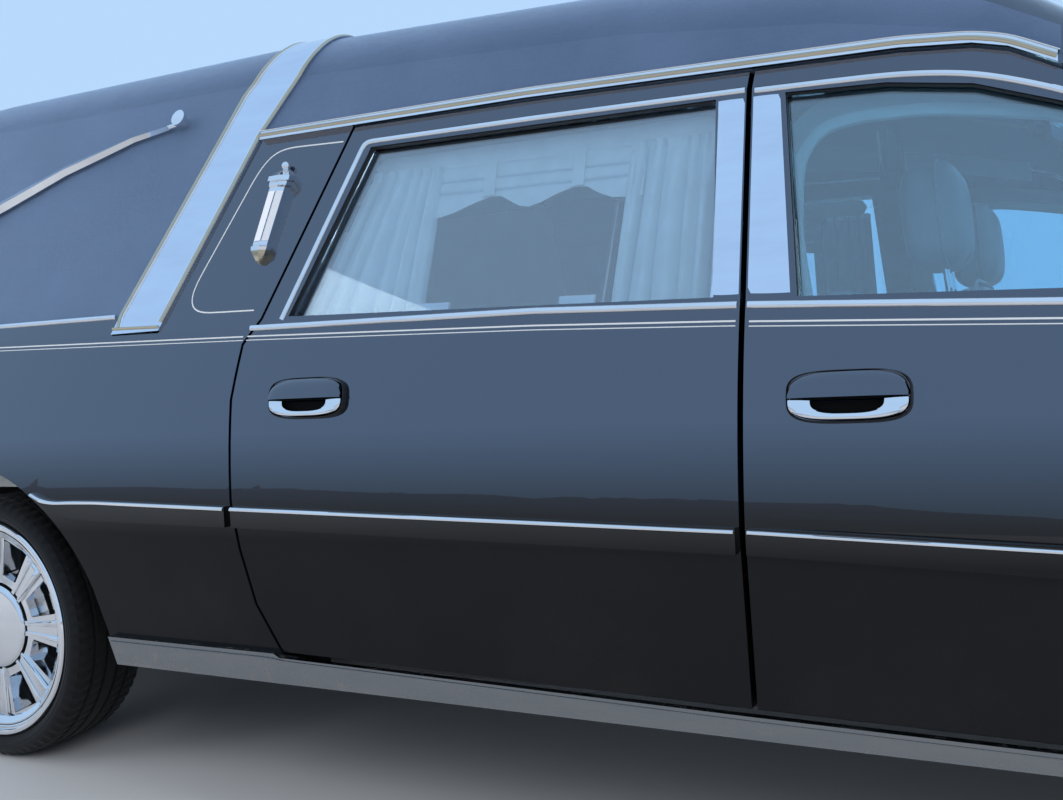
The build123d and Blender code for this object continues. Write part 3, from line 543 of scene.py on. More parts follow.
FINISHES: tuple[Finish, ...] = (
    GlossPaint("black_paint", (0.0045, 0.0048, 0.006), 0.16),
    # slate blue base colour: painted sky reflection on black vinyl
    Vinyl("grained_vinyl", (0.056, 0.088, 0.158), 0.36),
    Chrome("polished_band", (0.76, 0.82, 0.92), 0.045, haze=0.05),
    Chrome("bright_chrome", (0.88, 0.89, 0.91), 0.03, haze=0.04),
    Chrome("nickel_bead", (0.62, 0.55, 0.42), 0.09, haze=0.06),
    Chrome("wheel_chrome", (0.84, 0.85, 0.87), 0.05, haze=0.05),
    Chrome("rocker_steel", (0.26, 0.265, 0.27), 0.2, haze=0.16, rust=0.95),
    Glass("tinted_glass", (0.7, 0.88, 1.0), 0.0, mirror=1.0),
    Glass("front_tint", (0.5, 0.84, 1.0), 0.0, mirror=0.75),
    Glass("clear_lens", (0.92, 0.94, 0.96), 0.02),
    Glass("red_lens", (0.5, 0.015, 0.012), 0.08, weight=0.55),
    Grained("tyre_rubber", (0.008, 0.008, 0.0085), 0.66, grain=260.0, depth=0.0005, sheen=0.05, gloss=0.25),
    Cloth("drape_cloth", (0.9, 0.9, 0.87), 0.85),
    Grained("grey_leather", (0.3, 0.31, 0.31), 0.46, grain=300.0, depth=0.0006, contrast=0.1),
    Grained("grey_trim", (0.2, 0.21, 0.215), 0.6, grain=500.0, depth=0.0003, contrast=0.07),
    Grained("pale_trim", (0.5, 0.51, 0.49), 0.62, grain=520.0, depth=0.0002, contrast=0.06),
    Grained("deck_wood", (0.16, 0.065, 0.028), 0.28, grain=60.0, depth=0.0004, sheen=0.0,
            stretch=(0.12, 1.6, 1.0), contrast=0.45),
    Grained("cast_metal", (0.16, 0.16, 0.165), 0.58, grain=240.0, depth=0.0008, sheen=0.0, metallic=0.75),
    Grained("chassis_black", (0.022, 0.022, 0.023), 0.5, grain=160.0, depth=0.0006, sheen=0.0),
    Grained("black_rubber", (0.008, 0.008, 0.009), 0.42, grain=420.0, depth=0.0002, sheen=0.05),
    # near-black: painted shade where it lines the handle cups, the strips under the flaps and the wheel
    # trims' lip grooves
    Grained("dark_recess", (0.002, 0.002, 0.002), 0.7, grain=400.0, depth=0.0001, sheen=0.0, gloss=0.1),
    Glass("amber_lens", (0.85, 0.33, 0.04), 0.08, weight=0.5),
    Finish("silver_stripe", (0.62, 0.64, 0.66), 0.32),
    Finish("lamp_pane", (0.78, 0.8, 0.84), 0.12),
)


class Palette:
    """Every material of the scene, by name."""

    def __init__(self, finishes: Iterable[Finish]) -> None:
        """Builds every finish once."""
        self.materials = {finish.name: finish.build() for finish in finishes}

    def __getitem__(self, name: str) -> bpy.types.Material:
        """Returns a material by its finish's name."""
        return self.materials[name]

    def coat(self, obj: bpy.types.Object, name: str) -> None:
        """Gives an object one material by name.

        Args:
            obj: the mesh object.
            name: name of a finish.
        """
        obj.data.materials.clear()
        obj.data.materials.append(self.materials[name])


def unit(vectors: np.ndarray) -> np.ndarray:
    """Returns vectors of length one, along the last axis."""
    return vectors / np.maximum(np.linalg.norm(vectors, axis=-1, keepdims=True), 1e-12)


def resample(points: Sequence[Sequence[float]], step: float, smooth: int = 0) -> np.ndarray:
    """Spreads points evenly along a polyline.

    Args:
        points: corner points, in any number of columns.
        step: distance between the new points, in the points' unit.
        smooth: passes of a three-point average, ends held.

    Returns:
        An array of the new points.
    """
    line = np.asarray(points, float)
    run = np.concatenate([[0.0], np.cumsum(np.linalg.norm(np.diff(line, axis=0), axis=1))])
    count = max(2, int(round(run[-1] / step)) + 1)
    at = np.linspace(0.0, run[-1], count)
    out = np.stack([np.interp(at, run, line[:, k]) for k in range(line.shape[1])], axis=1)
    for _ in range(smooth):
        out[1:-1] = 0.25 * out[:-2] + 0.5 * out[1:-1] + 0.25 * out[2:]
    return out


def oblong(half: float, out: float, count: int = 8, foot: float = -1.0) -> np.ndarray:
    """Half-round bar section, (−half · cos, out · sin) over half a turn, flat below.

    Args:
        half: half width in mm.
        out: height in mm.
        count: points of the round.
        foot: height of the flat in mm.

    Returns:
        Closed outline as (across, out).
    """
    turn = np.linspace(0.0, math.pi, count)
    crown = np.stack([-half * np.cos(turn), out * np.sin(turn)], axis=1)
    return np.concatenate([[(-half, foot)], crown, [(half, foot)]])


def flat_bar(half: float, out: float, edge: float, foot: float = -1.0) -> np.ndarray:
    """Flat strip section with its edges rounded off.

    Args:
        half: half width in mm.
        out: height in mm.
        edge: size of the rounding in mm.
        foot: height of the foot in mm.

    Returns:
        Closed outline as (across, out).
    """
    return np.array([
        (-half, foot), (-half, out - edge), (-half + edge * 0.3, out - edge * 0.3), (-half + edge, out),
        (half - edge, out), (half - edge * 0.3, out - edge * 0.3), (half, out - edge), (half, foot),
    ])


def turns(count: int) -> np.ndarray:
    """Returns even angles round a circle, from 0."""
    return np.linspace(0, 2 * math.pi, count, endpoint=False)


def span_grid(first: Sequence[float], second: Sequence[float]) -> Sequence[np.ndarray]:
    """Returns two arrays that span a grid, each from its start, end and count."""
    return np.meshgrid(np.linspace(*first), np.linspace(*second), indexing="ij")


def bowed(values: np.ndarray, power: float) -> np.ndarray:
    """Returns values raised to a power with their sign kept, which squares a circle."""
    return np.sign(values) * abs(values) ** power


def wedge(foot: float, low: float, top: float, high: float) -> np.ndarray:
    """Returns a four-sided strip section: half width foot at the height low, half width top at high."""
    return np.array([(-foot, low), (foot, low), (top, high), (-top, high)], float)


def round_bar(radius: float, count: int = 10) -> np.ndarray:
    """Returns the section of a round bar in mm."""
    turn = turns(count)
    return np.stack([radius * np.cos(turn), radius * np.sin(turn)], axis=1)


def rounded(x0: float, x1: float, z0: float, z1: float, radius: float) -> np.ndarray:
    """Closed outline of a rounded rectangle: a quarter circle in each corner.

    Args:
        x0: lowest first coordinate.
        x1: highest first coordinate.
        z0: lowest second coordinate.
        z1: highest second coordinate.
        radius: radius of the corners.

    Returns:
        The outline in the unit of its sides.
    """
    turn = np.linspace(0, math.pi / 2, 8)
    arc = np.stack([np.cos(turn), np.sin(turn)], axis=1) * radius
    parts = []
    for x, z, right, upper in ((x1, z1, 1, 1), (x0, z1, -1, 1), (x0, z0, -1, -1), (x1, z0, 1, -1)):
        part = arc * [right, upper] + [x - right * radius, z - upper * radius]
        parts.append(part if right * upper > 0 else part[::-1])
    return np.concatenate(parts)


def turned(rows: Any, centre: Sequence[float], axis: int, count: int) -> np.ndarray:
    """Grid of a profile turned about an axis: rise along it, radius · (cos, sin) across it.

    Args:
        rows: (radius, rise) of the profile's points in mm.
        centre: point on the axis in mm, where the rise is 0.
        axis: index of the axis; the cosine goes to the first of the other two.
        count: sections round the axis.

    Returns:
        An array of shape (count, rows, 3) in mm.
    """
    radius, rise = np.array(rows, float).T
    turn = turns(count)[:, None]
    first, second = (k for k in range(3) if k != axis)
    grid = np.empty((count, len(radius), 3))
    grid[..., axis] = centre[axis] + rise
    grid[..., first] = centre[first] + radius * np.cos(turn)
    grid[..., second] = centre[second] + radius * np.sin(turn)
    return grid


def stepped(outline: np.ndarray, middle: Sequence[float], steps: Sequence[tuple[float, float]],
            axis: int = 0) -> np.ndarray:
    """Grid of an outline shrunk step by step: middle + scale · (outline − middle).

    Args:
        outline: (n, 2) closed outline in mm.
        middle: the point that it shrinks towards.
        steps: scale of each step and its place along the third axis.
        axis: index of that axis.

    Returns:
        An array of shape (steps, n, 3) in mm.
    """
    return np.array([np.insert((outline - middle) * scale + middle, axis, place, axis=1)
                     for scale, place in steps])


def arc_through(first: np.ndarray, between: np.ndarray, last: np.ndarray, count: int) -> np.ndarray:
    """Arc through three points of a plane, about the point that is as far from each of them.

    Args:
        first: where it starts.
        between: a point on it.
        last: where it ends.
        count: number of points.

    Returns:
        An array of shape (count, 2).
    """
    (ax, ay), (bx, by), (cx, cy) = first, between, last
    d = 2 * (ax * (by - cy) + bx * (cy - ay) + cx * (ay - by))
    sq = [float(p @ p) for p in (first, between, last)]
    centre = np.array([(sq[0] * (by - cy) + sq[1] * (cy - ay) + sq[2] * (ay - by)) / d,
                       (sq[0] * (cx - bx) + sq[1] * (ax - cx) + sq[2] * (bx - ax)) / d])
    start, middle, end = (math.atan2(*(p - centre)[::-1]) for p in (first, between, last))
    while middle < start - math.pi:
        middle += 2 * math.pi
    while end < middle - math.pi:
        end += 2 * math.pi
    turn = np.linspace(start, end, count)
    radius = np.linalg.norm(first - centre)
    return centre + radius * np.stack([np.cos(turn), np.sin(turn)], axis=1)


class BodyForm:
    """The outer skin of the body as functions of x and z, in mm."""

    SECTION = 24

    def __init__(self) -> None:
        """Works out the half section at each station of the roof."""
        self.rings = np.stack([self._ring(row) for row in ROOF])

    @staticmethod
    def _columns(table: np.ndarray, x: np.ndarray) -> list[np.ndarray]:
        """Returns a table's columns at lengthwise places."""
        return [np.interp(x, table[:, 0], table[:, k]) for k in range(1, table.shape[1])]

    def _ring(self, row: np.ndarray) -> np.ndarray:
        """Half section at a station: a straight side, an arc over the roof rail, an arc to the crown.

        Args:
            row: the station's row in the roof's table.

        Returns:
            Points from the belt to the crown as (w, z).
        """
        x, zt, wt, zs, ws, zc = row
        belt = [float(np.interp(x, LOWER[:, 0], LOWER[:, k])) for k in (5, 6)]
        side = np.linspace((belt[1], belt[0]), (wt, zt), self.SECTION)
        a, b = np.array([wt, zt]), np.array([ws, zs])
        d = b - a
        m = (a + b) / 2 + np.array([d[1], -d[0]]) * 0.2
        edge = arc_through(a, m, b, self.SECTION)
        whole = arc_through(b, np.array([0.0, zc]), np.array([-ws, zs]), 2 * self.SECTION - 1)
        return np.concatenate([side, edge[1:], whole[1:self.SECTION]])

    def half(self, x: np.ndarray, z: np.ndarray) -> np.ndarray:
        """Half width of the skin: straight up to the widest, bulged to the belt, straight to the roof.

        Args:
            x: lengthwise places in mm.
            z: heights in mm, below the crown.

        Returns:
            Half widths in mm.
        """
        x, z = np.asarray(x, float), np.asarray(z, float)
        z0, w0, z1, w1, z2, w2 = self._columns(LOWER, x)
        zt, wt, _, _, _ = self._columns(ROOF, x)
        low = np.clip((z - z0) / (z1 - z0), 0, 1)
        up = np.clip((z - z1) / (z2 - z1), 0, 1)
        bulge = (z2 - z1) * 0.12 * up * (1 - up)
        lower = np.where(z < z1, w0 + low * (w1 - w0), w1 + up * (w2 - w1) + bulge)
        return np.where(z < z2, lower, w2 + (wt - w2) * (z - z2) / (zt - z2))

    def points(self, x: np.ndarray, z: np.ndarray, side: Side, out: Any = 0.0) -> np.ndarray:
        """Points on the side skin, moved outward.

        Args:
            x: lengthwise places in mm.
            z: heights in mm.
            side: which side of the vehicle.
            out: distance off the skin in mm, a number or an array.

        Returns:
            An array of points in metres.
        """
        x, z = np.asarray(x, float), np.asarray(z, float)
        flat = np.stack([x, self.half(x, z) * side.value, z], axis=-1)
        return (flat + self.normals(x, z, side) * np.asarray(out)[..., None]) * MM

    def normals(self, x: np.ndarray, z: np.ndarray, side: Side) -> np.ndarray:
        """Outward unit normals of the side skin, from differences over 4 mm.

        Args:
            x: lengthwise places in mm.
            z: heights in mm.
            side: which side of the vehicle.

        Returns:
            The vectors.
        """
        dx = (self.half(x + 2, z) - self.half(x - 2, z)) / 4
        dz = (self.half(x, z + 2) - self.half(x, z - 2)) / 4
        return unit(np.stack([-dx, np.full_like(dx, side.value), -dz], axis=-1))

    def section(self, x: np.ndarray, s: np.ndarray) -> np.ndarray:
        """Points of the roof's section, linear along a half section and between stations.

        Args:
            x: lengthwise places in mm.
            s: 0 at the belt to 1 at the crown's middle.

        Returns:
            Points as (w, z) in mm.
        """
        place = np.asarray(s) * (self.rings.shape[1] - 1)
        low = np.clip(np.floor(place).astype(int), 0, self.rings.shape[1] - 2)
        part = (place - low)[..., None]
        rings = self.rings[:, low] * (1 - part) + self.rings[:, low + 1] * part
        station = np.clip(np.searchsorted(ROOF[:, 0], x) - 1, 0, len(ROOF) - 2)
        t = ((x - ROOF[station, 0]) / (ROOF[station + 1, 0] - ROOF[station, 0]))[..., None]
        index = np.arange(len(np.atleast_1d(station)))
        return rings[station, index] * (1 - t) + rings[station + 1, index] * t


class MeshMaker:
    """Collects grids and faces into one mesh object."""

    def __init__(self, name: str, materials: Sequence[bpy.types.Material]) -> None:
        """Starts an empty mesh.

        Args:
            name: the object's name.
            materials: its materials, by slot.
        """
        self.name = name
        self.materials = list(materials)
        self.points: list[np.ndarray] = []
        self.faces: list[list[int]] = []
        self.slots: list[int] = []
        self.count = 0

    def grid(self, points: np.ndarray, close_u: bool = False, close_v: bool = False, slot: int = 0,
             flip: bool = False) -> "MeshMaker":
        """Adds a grid of quads.

        Args:
            points: array of shape (rows, columns, 3).
            close_u: joins the last row to the first.
            close_v: joins the last column to the first.
            slot: index of the material.
            flip: turns the faces over.

        Returns:
            The maker itself.
        """
        rows, columns = points.shape[:2]
        index = np.arange(rows * columns).reshape(rows, columns) + self.count
        if close_u:
            index = np.concatenate([index, index[:1]])
        if close_v:
            index = np.concatenate([index, index[:, :1]], axis=1)
        quads = np.stack([index[:-1, :-1], index[1:, :-1], index[1:, 1:], index[:-1, 1:]], axis=-1)
        quads = quads.reshape(-1, 4)
        if flip:
            quads = quads[:, ::-1]
        self.points.append(points.reshape(-1, 3))
        self.faces += quads.tolist()
        self.slots += [slot] * len(quads)
        self.count += rows * columns
        return self

    def cap(self, points: np.ndarray, slot: int = 0) -> "MeshMaker":
        """Adds one polygon.

        Args:
            points: its outline in metres.
            slot: index of the material.

        Returns:
            The maker itself.
        """
        self.points.append(points.reshape(-1, 3))
        self.faces.append(list(range(self.count, self.count + len(points))))
        self.slots.append(slot)
        self.count += len(points)
        return self

    def tube(self, body: np.ndarray, slot: int = 0, closed: bool = False) -> "MeshMaker":
        """Adds a bar from its grid, with both ends capped unless it is a loop.

        Args:
            body: array of shape (rows, columns, 3), the columns round the bar.
            slot: index of the material.
            closed: the last row joins the first.

        Returns:
            The maker itself.
        """
        self.grid(body, close_u=closed, close_v=True, slot=slot)
        return self if closed else self.cap(body[0, ::-1], slot).cap(body[-1], slot)

    def sweep(self, path: np.ndarray, across: Any, out: Any, section: np.ndarray, slot: int = 0,
              closed: bool = False) -> "MeshMaker":
        """Adds a bar: its section's columns along two vectors at each point of a path.

        Args:
            path: (n, 3) points in metres.
            across: unit vector, or one for each point, of the section's first column.
            out: the same for the section's second column.
            section: (m, 2) closed outline in mm.
            slot: index of the material.
            closed: the path is a loop.

        Returns:
            The maker itself.
        """
        sec = section * MM
        across, out = (np.broadcast_to(vector, path.shape)[:, None] for vector in (across, out))
        body = path[:, None] + across * sec[None, :, :1] + out * sec[None, :, 1:]
        return self.tube(body, slot, closed)

    def build(self, angle: float = 40.0) -> bpy.types.Object:
        """Makes the mesh object, welded, shaded smooth by angle and with its faces outward.

        Args:
            angle: edges sharper than this many degrees stay sharp.

        Returns:
            The new object, linked to the scene.
        """
        mesh = bpy.data.meshes.new(self.name)
        mesh.from_pydata(np.concatenate(self.points).tolist(), [], self.faces)
        for material in self.materials:
            mesh.materials.append(material)
        mesh.polygons.foreach_set("material_index", np.array(self.slots, np.int32))
        mesh.update()
        obj = bpy.data.objects.new(self.name, mesh)
        bpy.context.scene.collection.objects.link(obj)
        tidy_mesh(mesh)
        mesh.set_sharp_from_angle(angle=math.radians(angle))
        return obj


def tidy_mesh(mesh: bpy.types.Mesh, weld: float = 1e-6) -> None:
    """Welds doubled points, turns closed shells outward and shades the mesh smooth.

    Args:
        mesh: the mesh.
        weld: distance in metres below which points are one.
    """
    work = bmesh.new()
    work.from_mesh(mesh)
    bmesh.ops.remove_doubles(work, verts=work.verts, dist=weld)
    bmesh.ops.recalc_face_normals(work, faces=work.faces)
    work.to_mesh(mesh)
    work.free()
    mesh.polygons.foreach_set("use_smooth", np.ones(len(mesh.polygons), bool))
    mesh.update()


def bar(maker: MeshMaker, points: Sequence[Sequence[float]], section: np.ndarray, slot: int = 0,
        step: float = 12.0, smooth: int = 2, closed: bool = False, up: Sequence[float] = UP) -> None:
    """Adds a bar along points in mm: the section follows the path, its second column leaning to up.

    Args:
        maker: where the bar goes.
        points: corner points in mm.
        section: outline in mm.
        slot: index of the material.
        step: spacing of the rows in mm.
        smooth: passes of smoothing along the path.
        closed: the path is a loop.
        up: direction that the section's second column leans to.
    """
    path = resample([*points, points[0]] if closed else points, step, smooth)
    path = path[:-1] if closed else path
    along = unit(np.roll(path, -1, 0) - np.roll(path, 1, 0) if closed else np.gradient(path, axis=0))
    out = unit(np.array(up, float) - along * (along @ np.array(up, float))[:, None])
    maker.sweep(path * MM, np.cross(along, out), out, section, slot, closed)


@dataclass
class Kit:
    """What every sub-assembly works with.

    Attributes:
        frame: the loaded frame.
        palette: the scene's materials.
        form: the body's skin.
    """

    frame: dict[str, Any]
    palette: Palette
    form: BodyForm

    def maker(self, name: str, *materials: str) -> MeshMaker:
        """Returns a mesh maker with materials given by name."""
        return MeshMaker(name, [self.palette[m] for m in materials])

    def ride(self, obj: bpy.types.Object, body: str, slot: str | None = None) -> bpy.types.Object:
        """Seats a piece on a body of the frame.

        Args:
            obj: the piece.
            body: name of the body.
            slot: the record's slot for the piece; not used.

        Returns:
            The piece.
        """
        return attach(obj, body)

    def strip(self, maker: MeshMaker, path: np.ndarray, section: np.ndarray, side: Side,
              slot: int = 0, closed: bool = False) -> MeshMaker:
        """Adds a bar that follows the side skin.

        Args:
            maker: where the bar goes.
            path: (n, 2) places as x, z in mm.
            section: (m, 2) outline in mm, across the path and off the skin.
            side: which side of the vehicle.
            slot: index of the material.
            closed: the path is a loop.

        Returns:
            The maker.
        """
        x, z = path[:, 0], path[:, 1]
        along = np.roll(path, -1, 0) - np.roll(path, 1, 0) if closed else np.gradient(path, axis=0)
        along = unit(along)
        cross = np.stack([-along[:, 1], along[:, 0]], axis=1)
        gx = x[:, None] + cross[:, :1] * section[None, :, 0]
        gz = z[:, None] + cross[:, 1:] * section[None, :, 0]
        body = self.form.points(gx, gz, side, np.broadcast_to(section[None, :, 1], gx.shape))
        return maker.tube(body, slot, closed)


@dataclass
class Trim:
    """A strip on the side skin.

    Attributes:
        path: corner points as x, z.
    """

    name: str
    body: str
    path: Sequence[tuple[float, float]]
    section: np.ndarray
    finish: str
    slot: str
    smooth: int = 0


@dataclass
class SideTrims:
    """Belt strips, window reveals, pinstripes and mouldings on both sides.

    Attributes:
        trims: the strips of one side.
    """

    kit: Kit
    trims: list[Trim] = field(default_factory=list)

    def __post_init__(self) -> None:
        """Lists the strips of one side."""
        bright, silver = "bright_chrome", "silver_stripe"
        rear, front = "rear_door_{side}", "front_door_{side}"
        thin = flat_bar(1.5, 0.35, 0.1, -0.6)
        hair = flat_bar(0.9, 0.35, 0.1, -0.6)
        belt, moulding = oblong(6.5, 6.0), oblong(6.0, 17.0)
        self.trims = [
            Trim("belt_rear", rear, [(-604, 1043), (78, 1032), (466, 1015)], belt, bright, bright),
            Trim("belt_front", front, [(484, 1014), (955, 985), (1420, 950), (1570, 938)],
                 belt, bright, bright),
            Trim("reveal_rear", rear, [(-524, 1056), (-379, 1430), (24, 1418), (458, 1401)],
                 oblong(6.0, 5.0), bright, bright, 1),
            Trim("reveal_front", front,
                 [(476, 1397), (720, 1384), (832, 1366), (963, 1315), (1310, 1108), (1452, 1012)],
                 oblong(6.0, 5.0), bright, bright, 24),
            Trim("stripe_quarter", "body", [(-2950, 1066), (-1432, 1046), (-624, 1026)],
                 thin, silver, bright),
            Trim("stripe_rear", rear, [(-612, 1026), (79, 1005), (464, 988)], thin, silver, bright),
            Trim("stripe_front", front, [(487, 986), (955, 960), (1570, 914)], thin, silver, bright),
            Trim("hairline_quarter", "body", [(-2950, 1058), (-1432, 1038), (-624, 1018)],
                 hair, silver, bright),
            Trim("hairline_rear", rear, [(-614, 1018), (79, 997), (464, 980)], hair, silver, bright),
            Trim("hairline_front", front, [(487, 978), (955, 952), (1570, 906)], hair, silver, bright),
            Trim("lamp_panel_loop", "body",
                 [(-440, 1440), (-600, 1449), (-640, 1440), (-672, 1402), (-796, 1150), (-803, 1116),
                  (-790, 1094), (-756, 1086), (-606, 1082)], thin, silver, bright, 6),
            Trim("moulding_chrome_rear", rear, [(-626, 663), (464, 644)], moulding, bright, bright),
            Trim("moulding_chrome_front", front, [(487, 644), (945, 628), (1588, 606)],
                 moulding, bright, bright),
            Trim("moulding_chrome_tail", "body",
                 [(-1259, 686), (-1225, 672), (-1180, 668), (-1120, 670), (-1040, 671), (-646, 663)],
                 moulding, bright, bright, 3),
            Trim("moulding_chrome_nose", "body", [(1609, 605), (1681, 602)], moulding, bright, bright),
            Trim("vinyl_foot_bead", "body", [(-3040, 1108), (-1455, 1100), (-1030, 1096)], oblong(6.0, 6.0),
                 bright, bright),
        ]

    def build(self) -> None:
        """Makes every strip on each side."""
        for side in Side:
            for trim in self.trims:
                maker = self.kit.maker(f"{trim.name}_{side.word}", trim.finish)
                path = resample(trim.path, 12.0, trim.smooth)
                self.kit.strip(maker, path, trim.section, side)
                self.kit.ride(maker.build(), trim.body.format(side=side.word), trim.slot)


@dataclass
class CentrePlates:
    """The bright plates on the door frames either side of the centre gap.

    Attributes:
        plates: piece, body, and top rear, top front, bottom front and bottom rear corner.
        size: rough width and height of a plate.
    """

    kit: Kit
    plates: tuple[tuple[str, str, Outline], ...] = (
        ("plate_rear", "rear_door_{side}", ((408, 1391), (459, 1389), (468, 1030), (419, 1032))),
        ("plate_front", "front_door_{side}", ((472, 1389), (522, 1386), (556, 1026), (481, 1030))),
    )
    size: tuple[float, float] = (60.0, 360.0)
    rim: float = 2.5
    thick: float = 2.6
    crown: float = 1.2

    def build(self) -> None:
        """Makes both plates on each side: a root of the distance from the edge, and a parabola across."""
        s, t = span_grid((0, 1, 12), (0, 1, 28))
        edge = np.minimum(np.minimum(s, 1 - s) * self.size[0], np.minimum(t, 1 - t) * self.size[1])
        out = self.thick * np.clip(edge / self.rim, 0, 1) ** 0.5 + self.crown * (1 - (2 * s - 1) ** 2)
        out = np.where(edge <= 0, -1.0, out)
        for side in Side:
            for name, body, corners in self.plates:
                tr, tf, bf, br = np.array(corners, float)
                lower, upper = br + (bf - br) * s[..., None], tr + (tf - tr) * s[..., None]
                place = lower + (upper - lower) * t[..., None]
                points = self.kit.form.points(place[..., 0], place[..., 1], side, out)
                maker = self.kit.maker(f"{name}_{side.word}", "polished_band")
                maker.grid(points, flip=side is Side.RIGHT)
                self.kit.ride(maker.build(60), body.format(side=side.word), "polished_band")


@dataclass
class DripMoulding:
    """Ribbed roof drip moulding over its plain carrier.

    Attributes:
        path: the moulding as x, z.
        rolls: rise above the path, half width, height off the skin and slot of each roll.
        finishes: finish of each slot.
    """

    kit: Kit
    path: Outline = (
        (-680, 1488), (15, 1470), (434, 1450), (720, 1436), (833, 1422), (887, 1406), (957, 1367),
    )
    rolls: tuple[tuple[float, float, float, int], ...] = (
        (6.5, 2.2, 15.0, 0), (2.2, 1.6, 13.0, 2), (-3.8, 5.2, 17.5, 1),
    )
    foot: float = 9.0
    finishes: tuple[str, ...] = ("bright_chrome", "nickel_bead", "black_rubber")

    def build(self) -> None:
        """Makes the upper bead, the flute and the broad lower roll."""
        path = resample(self.path, 12.0, 3)
        for side in Side:
            maker = self.kit.maker(f"drip_moulding_{side.word}", *self.finishes)
            for rise, half, out, slot in self.rolls:
                section = oblong(half, out - self.foot, 7, 0.0) + [rise, self.foot]
                self.kit.strip(maker, path, section, side, slot)
            self.kit.ride(maker.build(), "body", "bright_chrome")


@dataclass
class LandauBand:
    """Beads along the bright band that runs over the roof.

    Attributes:
        rear: the band's rear edge as x, z.
        front: the band's front edge as x, z.
        beads: distance inside the edge, half width, height and slot of each bead.
        foot_bar: the bar across each foot as x, z.
    """

    kit: Kit
    rear: Outline = ((-1016, 1093), (-765, 1597), (-677, 1704), (-600, 1830))
    front: Outline = ((-890, 1030), (-679, 1493), (-557, 1675), (-470, 1830))
    beads: tuple[tuple[float, float, float, int], ...] = ((5.0, 4.6, 4.2, 0), (13.5, 2.4, 2.6, 1))
    foot_z: float = 1062.0
    lift: float = 5.0
    foot_bar: Outline = ((-1026, 1066), (-880, 1062))

    def edge(self, line: Outline, shift: float) -> tuple[np.ndarray, ...]:
        """Course of one bead, from the right foot over the roof to the left foot.

        Its x at each place along the roof's section is found by averaging x with the line's x at the
        section's height, again and again.

        Args:
            line: the band's edge seen from the side, as x, z in mm.
            shift: how far ahead of it the bead lies in mm.

        Returns:
            The path in mm, and the unit vectors across the bead and out of the skin.
        """
        pts = np.array(line, float)
        s = np.linspace(0.0, 1.0, 150)
        x = np.full_like(s, -700.0)
        for _ in range(25):
            wz = self.kit.form.section(x, s)
            x = 0.5 * x + 0.5 * (np.interp(wz[:, 1], pts[:, 1], pts[:, 0]) + shift)
        wz = self.kit.form.section(x, s)
        half = np.stack([x, -wz[:, 0], wz[:, 1]], axis=1)[wz[:, 1] >= self.foot_z]
        path = np.concatenate([half, half[::-1][1:] * [1, -1, 1]])
        tangent = unit(np.gradient(path, axis=0))
        across = unit(np.array(AHEAD) - tangent * (tangent @ np.array(AHEAD))[:, None])
        out = unit(np.cross(tangent, across))
        centre = path.mean(0) * [1, 0, 0] + [0, 0, 1000]
        out *= np.sign(np.einsum("ij,ij->i", out, path - centre))[:, None]
        return path, across, out

    def build(self) -> None:
        """Makes a double bead on both edges and a bar across each foot."""
        maker = self.kit.maker("landau_beads", "nickel_bead", "bright_chrome")
        for line, sign in ((self.rear, 1.0), (self.front, -1.0)):
            for shift, half, high, slot in self.beads:
                path, across, out = self.edge(line, shift * sign)
                maker.sweep((path + out * self.lift) * MM, across, out, oblong(half, high, 7, -2.0), slot)
        for side in Side:
            self.kit.strip(maker, resample(self.foot_bar, 10.0), oblong(4.6, 9.5, 7, 0.0), side)
        self.kit.ride(maker.build(), "body", "bright_chrome")


